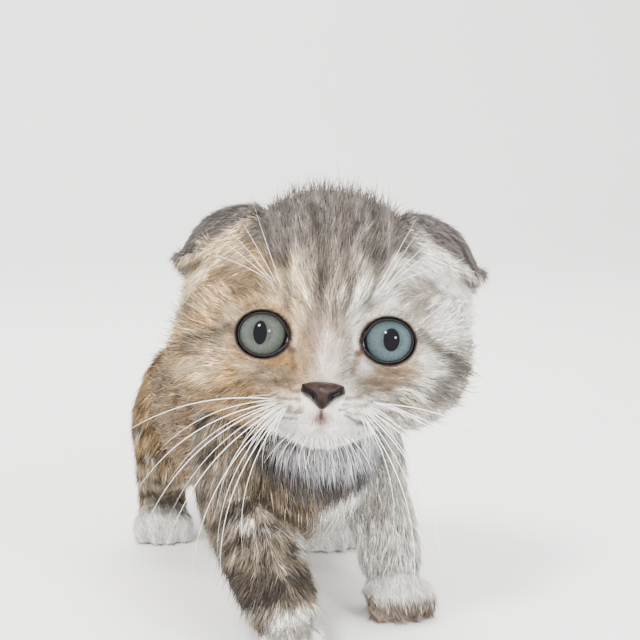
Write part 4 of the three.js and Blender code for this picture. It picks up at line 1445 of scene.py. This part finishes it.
def whisker(sign, share, length, rng):
    """A whisker that leaves its pad outwards, and arches forwards and down to its tip."""
    drop = math.radians(20.0 + 58.0 * share)
    lean = drop - math.radians(24.0)
    x = sign * (PAD[0] + (0.5 - share) * 4.1 + rng.normal(0.0, 0.5))
    z = PAD[1] + (0.5 - share) * 2.8 + rng.normal(0.0, 0.45)
    root = np.array([x, -25.5 - 9.2 * math.sqrt(max(0.1, 1.0 - ((abs(x) - 6.0) / 9.0) ** 2)) + 1.0, z])
    tip = root + [sign * math.cos(drop) * length, -5.5, -math.sin(drop) * length]
    tip = tip + rng.normal(0.0, 0.9, 3)
    bend = root + [sign * math.cos(lean) * length * 0.55, -9.5, -math.sin(lean) * length * 0.55]
    return hair_path(root, bend, tip, 16)


LONG_WHISKER, SECOND_WHISKER, SHORT_WHISKER = 0.24, 0.17, 0.13  # widths in millimetres
BROW_HAIR, CHIN_HAIR = 0.12, 0.14


def whisker_paths():
    """Whiskers of the two pads, the brows and the chin, in the head's frame."""
    rng = np.random.default_rng(5)
    paths = []
    widths = []
    for sign, long_hairs in ((-1, 12), (1, 10)):
        for k in range(long_hairs):
            share = (k / (long_hairs - 1)) ** 0.8
            full = 43.0 + 8.0 * share if k % 2 == 0 else 30.0 + 12.0 * rng.random()
            paths.append(whisker(sign, share, full, rng))
            widths.append(LONG_WHISKER if k % 2 == 0 else SECOND_WHISKER)
        for k in range(12):
            paths.append(whisker(sign, rng.random(), 8.0 + 9.0 * rng.random(), rng))
            widths.append(SHORT_WHISKER)
        for k in range(5):
            start = (sign * (12.0 + 1.1 * k), -27.5, 8.5 + 0.5 * k)
            end = np.array([sign * (20.0 + 3.2 * k), -33.0, 29.0 - 3.2 * k]) + rng.normal(0.0, 0.7, 3)
            aim = (np.array(start) + end) / 2 + np.array([sign * 1.0, -6.0, 2.5])
            paths.append(hair_path(start, aim, end))
            widths.append(BROW_HAIR)
        for k in range(5):
            start = np.array([sign * (1.2 + 1.6 * k), -31.0 + 0.5 * k, -28.0 - 0.2 * k])
            end = start + [sign * (1.5 + 1.2 * k), -2.5, -7.0 - rng.random() * 3]
            paths.append(hair_path(start, (start + end) / 2 + [sign * 0.8, -1.2, 0.8], end))
            widths.append(CHIN_HAIR)
    return [from_head(path) for path in paths], widths


class KITTEN_OT_whiskers(Operator):
    """Make the whiskers of the muzzle, brows and chin"""

    bl_idname = "kitten.whiskers"
    bl_label = "Whiskers"

    def execute(self, context):
        paths, widths = whisker_paths()
        whiskers = tapered_hairs("whiskers", paths, widths)
        material, tree, shader = new_material("whisker")
        mottle = mottled(tree, (0.82, 0.79, 0.74, 1.0), (0.95, 0.94, 0.92, 1.0), 120.0)
        set_inputs(tree, shader, {"Base Color": mottle.outputs["Colour"], "Roughness": 0.35})
        whiskers.data.materials.append(material)
        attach(whiskers, "root")
        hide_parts(*WHISKERS)
        return {"FINISHED"}


PAW_LENGTH = 25.0
PAW_TURN = {"right": math.radians(-6.0), "left": math.radians(7.5)}
TOE_APART = 4.7
CLAW_WIDTH = 1.1


def claw_paths():
    """The tips of four claws on each paw, just clear of the toes' fur."""
    paths = []
    for name in sorted(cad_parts):
        if not name.endswith("_paw"):
            continue
        low, high = (np.array(corner) * 1000.0 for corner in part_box(name))
        middle = (low + high) / 2.0
        turn = PAW_TURN[name.split("_")[0]]
        right = np.array([math.cos(turn), math.sin(turn), 0.0])
        back = np.array([-math.sin(turn), math.cos(turn), 0.0])
        for toe in range(4):
            offset = toe - 1.5
            forward = PAW_LENGTH * (0.3 - 0.07 * abs(offset) ** 1.4) + 4.2
            root = middle + right * offset * TOE_APART - back * forward
            root[1] += 1.6
            root[2] = 5.4
            tip = root - back * 3.2 + [0.0, 0.0, -2.2]
            paths.append(hair_path(root, root - back * 2.2 + [0.0, 0.0, 0.3], tip, 7))
    return paths


class KITTEN_OT_claws(Operator):
    """Make the tips of the claws"""

    bl_idname = "kitten.claws"
    bl_label = "Claws"

    def execute(self, context):
        paths = claw_paths()
        claws = tapered_hairs("claws", paths, [CLAW_WIDTH] * len(paths), sides=8)
        horn = leather_material("claw_horn", (0.55, 0.46, 0.4, 1.0), 900.0, 0.25)
        claws.data.materials.append(horn)
        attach(claws, "root")
        return {"FINISHED"}


def make_floor(settings):
    """A floor that curves up into a wall, far behind the kitten."""
    deselect()
    bpy.ops.mesh.primitive_grid_add(x_subdivisions=24, y_subdivisions=24, size=6.0, location=(0, 1.6, 0))
    floor = bpy.context.active_object
    floor.name = "floor"
    points = mesh_points(floor.data)
    points[:, 1] += 1.6
    points[:, 2] = np.maximum(points[:, 1] - 1.2, 0.0) ** 2 * 0.9
    floor.location = (0, 0, 0)
    floor.data.vertices.foreach_set("co", points.astype(np.float32).ravel())
    pick(floor)
    bpy.ops.object.shade_smooth()
    material, tree, shader = new_material("floor")
    colour = settings.floor_colour
    mottle = mottled(tree, toned(colour, 0.97), toned(colour, 1.03), 3.0)
    set_inputs(tree, shader, {"Base Color": mottle.outputs["Colour"], "Roughness": 0.8})
    floor.data.materials.append(material)
    floor.visible_glossy = False


def make_room(scene):
    """A soft light from all sides."""
    world = bpy.data.worlds.new("soft_room")
    world.use_nodes = True
    backdrop = world.node_tree.nodes["Background"]
    backdrop.inputs["Color"].default_value = (1.0, 0.985, 0.96, 1.0)
    backdrop.inputs["Strength"].default_value = 1.5
    scene.world = world


WARM, COOL, NEUTRAL = (1.0, 0.98, 0.95), (0.96, 0.98, 1.0), (1.0, 1.0, 1.0)
ON_KITTEN = (0.0, -0.1, 0.07)
# The lamps: place, what each is aimed at, size, power, colour, and whether the eyes mirror it.
LAMPS = {
    "window": ((-0.4, -0.8, 0.85), ON_KITTEN, 0.2, 26.0, WARM, True),
    "fill": ((0.33, -0.95, 0.38), ON_KITTEN, 0.17, 9.0, COOL, True),
    "low": ((-0.05, -1.0, 0.1), ON_KITTEN, 0.5, 11.0, (1.0, 0.99, 0.97), False),
    "top": ((0.05, 0.35, 0.95), ON_KITTEN, 0.8, 18.0, WARM, False),
    "wall": ((0.0, 0.7, 1.5), (0.0, 2.4, 0.7), 1.4, 45.0, NEUTRAL, False),
}


def make_lamps():
    for name, (place, target, size, power, colour, mirrored) in LAMPS.items():
        bpy.ops.object.light_add(type="AREA", location=place)
        light = bpy.context.active_object
        light.name = name
        light.data.shape = "DISK"
        light.visible_glossy = mirrored
        light.data.energy = power
        light.data.size = size
        light.data.color = colour
        aim = Vector(target) - Vector(place)
        light.rotation_euler = aim.to_track_quat("-Z", "Y").to_euler()


def make_camera(scene):
    """A camera that looks a little down at the face."""
    eyes = from_head([0.0, EYE_DEPTH - EYEBALL - CORNEA, EYE_HEIGHT])
    level, rise = math.cos(CAMERA_RISE), math.sin(CAMERA_RISE)
    back = np.array([math.sin(CAMERA_TURN) * level, -math.cos(CAMERA_TURN) * level, rise])
    up = np.cross(back, VIEW_RIGHT)
    aim = eyes + VIEW_RIGHT * VIEW_SHIFT[0] + up * VIEW_SHIFT[1]
    bpy.ops.object.camera_add(location=Vector((aim + back * CAMERA_AWAY) * MM))
    camera = bpy.context.active_object
    camera.name = "camera"
    camera.rotation_euler = Vector(-back).to_track_quat("-Z", "Y").to_euler()
    camera.data.sensor_width = SENSOR_WIDTH
    camera.data.lens = SENSOR_WIDTH * CAMERA_AWAY / VIEW_WIDTH
    camera.data.clip_start = 0.01
    scene.camera = camera


class KITTEN_OT_stage(Operator):
    """Lay the floor and place the lights and the camera"""

    bl_idname = "kitten.stage"
    bl_label = "Stage"

    def execute(self, context):
        make_floor(context.scene.kitten)
        make_room(context.scene)
        make_lamps()
        make_camera(context.scene)
        return {"FINISHED"}


class KITTEN_PT_panel(Panel):
    """Buttons and settings of the kitten's pieces"""

    bl_idname = "KITTEN_PT_panel"
    bl_label = "Kitten"
    bl_space_type = "VIEW_3D"
    bl_region_type = "UI"
    bl_category = "Kitten"

    def draw(self, context):
        settings = context.scene.kitten
        for name in KittenSettings.__annotations__:
            self.layout.prop(settings, name)
        for operator in OPERATORS:
            self.layout.operator(operator.bl_idname)


OPERATORS = (
    KITTEN_OT_stage,
    KITTEN_OT_skin,
    KITTEN_OT_coat,
    KITTEN_OT_eyes,
    KITTEN_OT_nose,
    KITTEN_OT_whiskers,
    KITTEN_OT_claws,
)
CLASSES = (KittenSettings, *OPERATORS, KITTEN_PT_panel)


def register():
    for cls in CLASSES:
        bpy.utils.register_class(cls)
    bpy.types.Scene.kitten = PointerProperty(type=KittenSettings)


def unregister():
    del bpy.types.Scene.kitten
    for cls in reversed(CLASSES):
        bpy.utils.unregister_class(cls)


def main():
    register()
    bpy.ops.kitten.stage()
    bpy.ops.kitten.skin()
    bpy.ops.kitten.coat()
    bpy.ops.kitten.eyes()
    bpy.ops.kitten.nose()
    bpy.ops.kitten.whiskers()
    bpy.ops.kitten.claws()
    deselect()


if __name__ == "__main__":
    main()
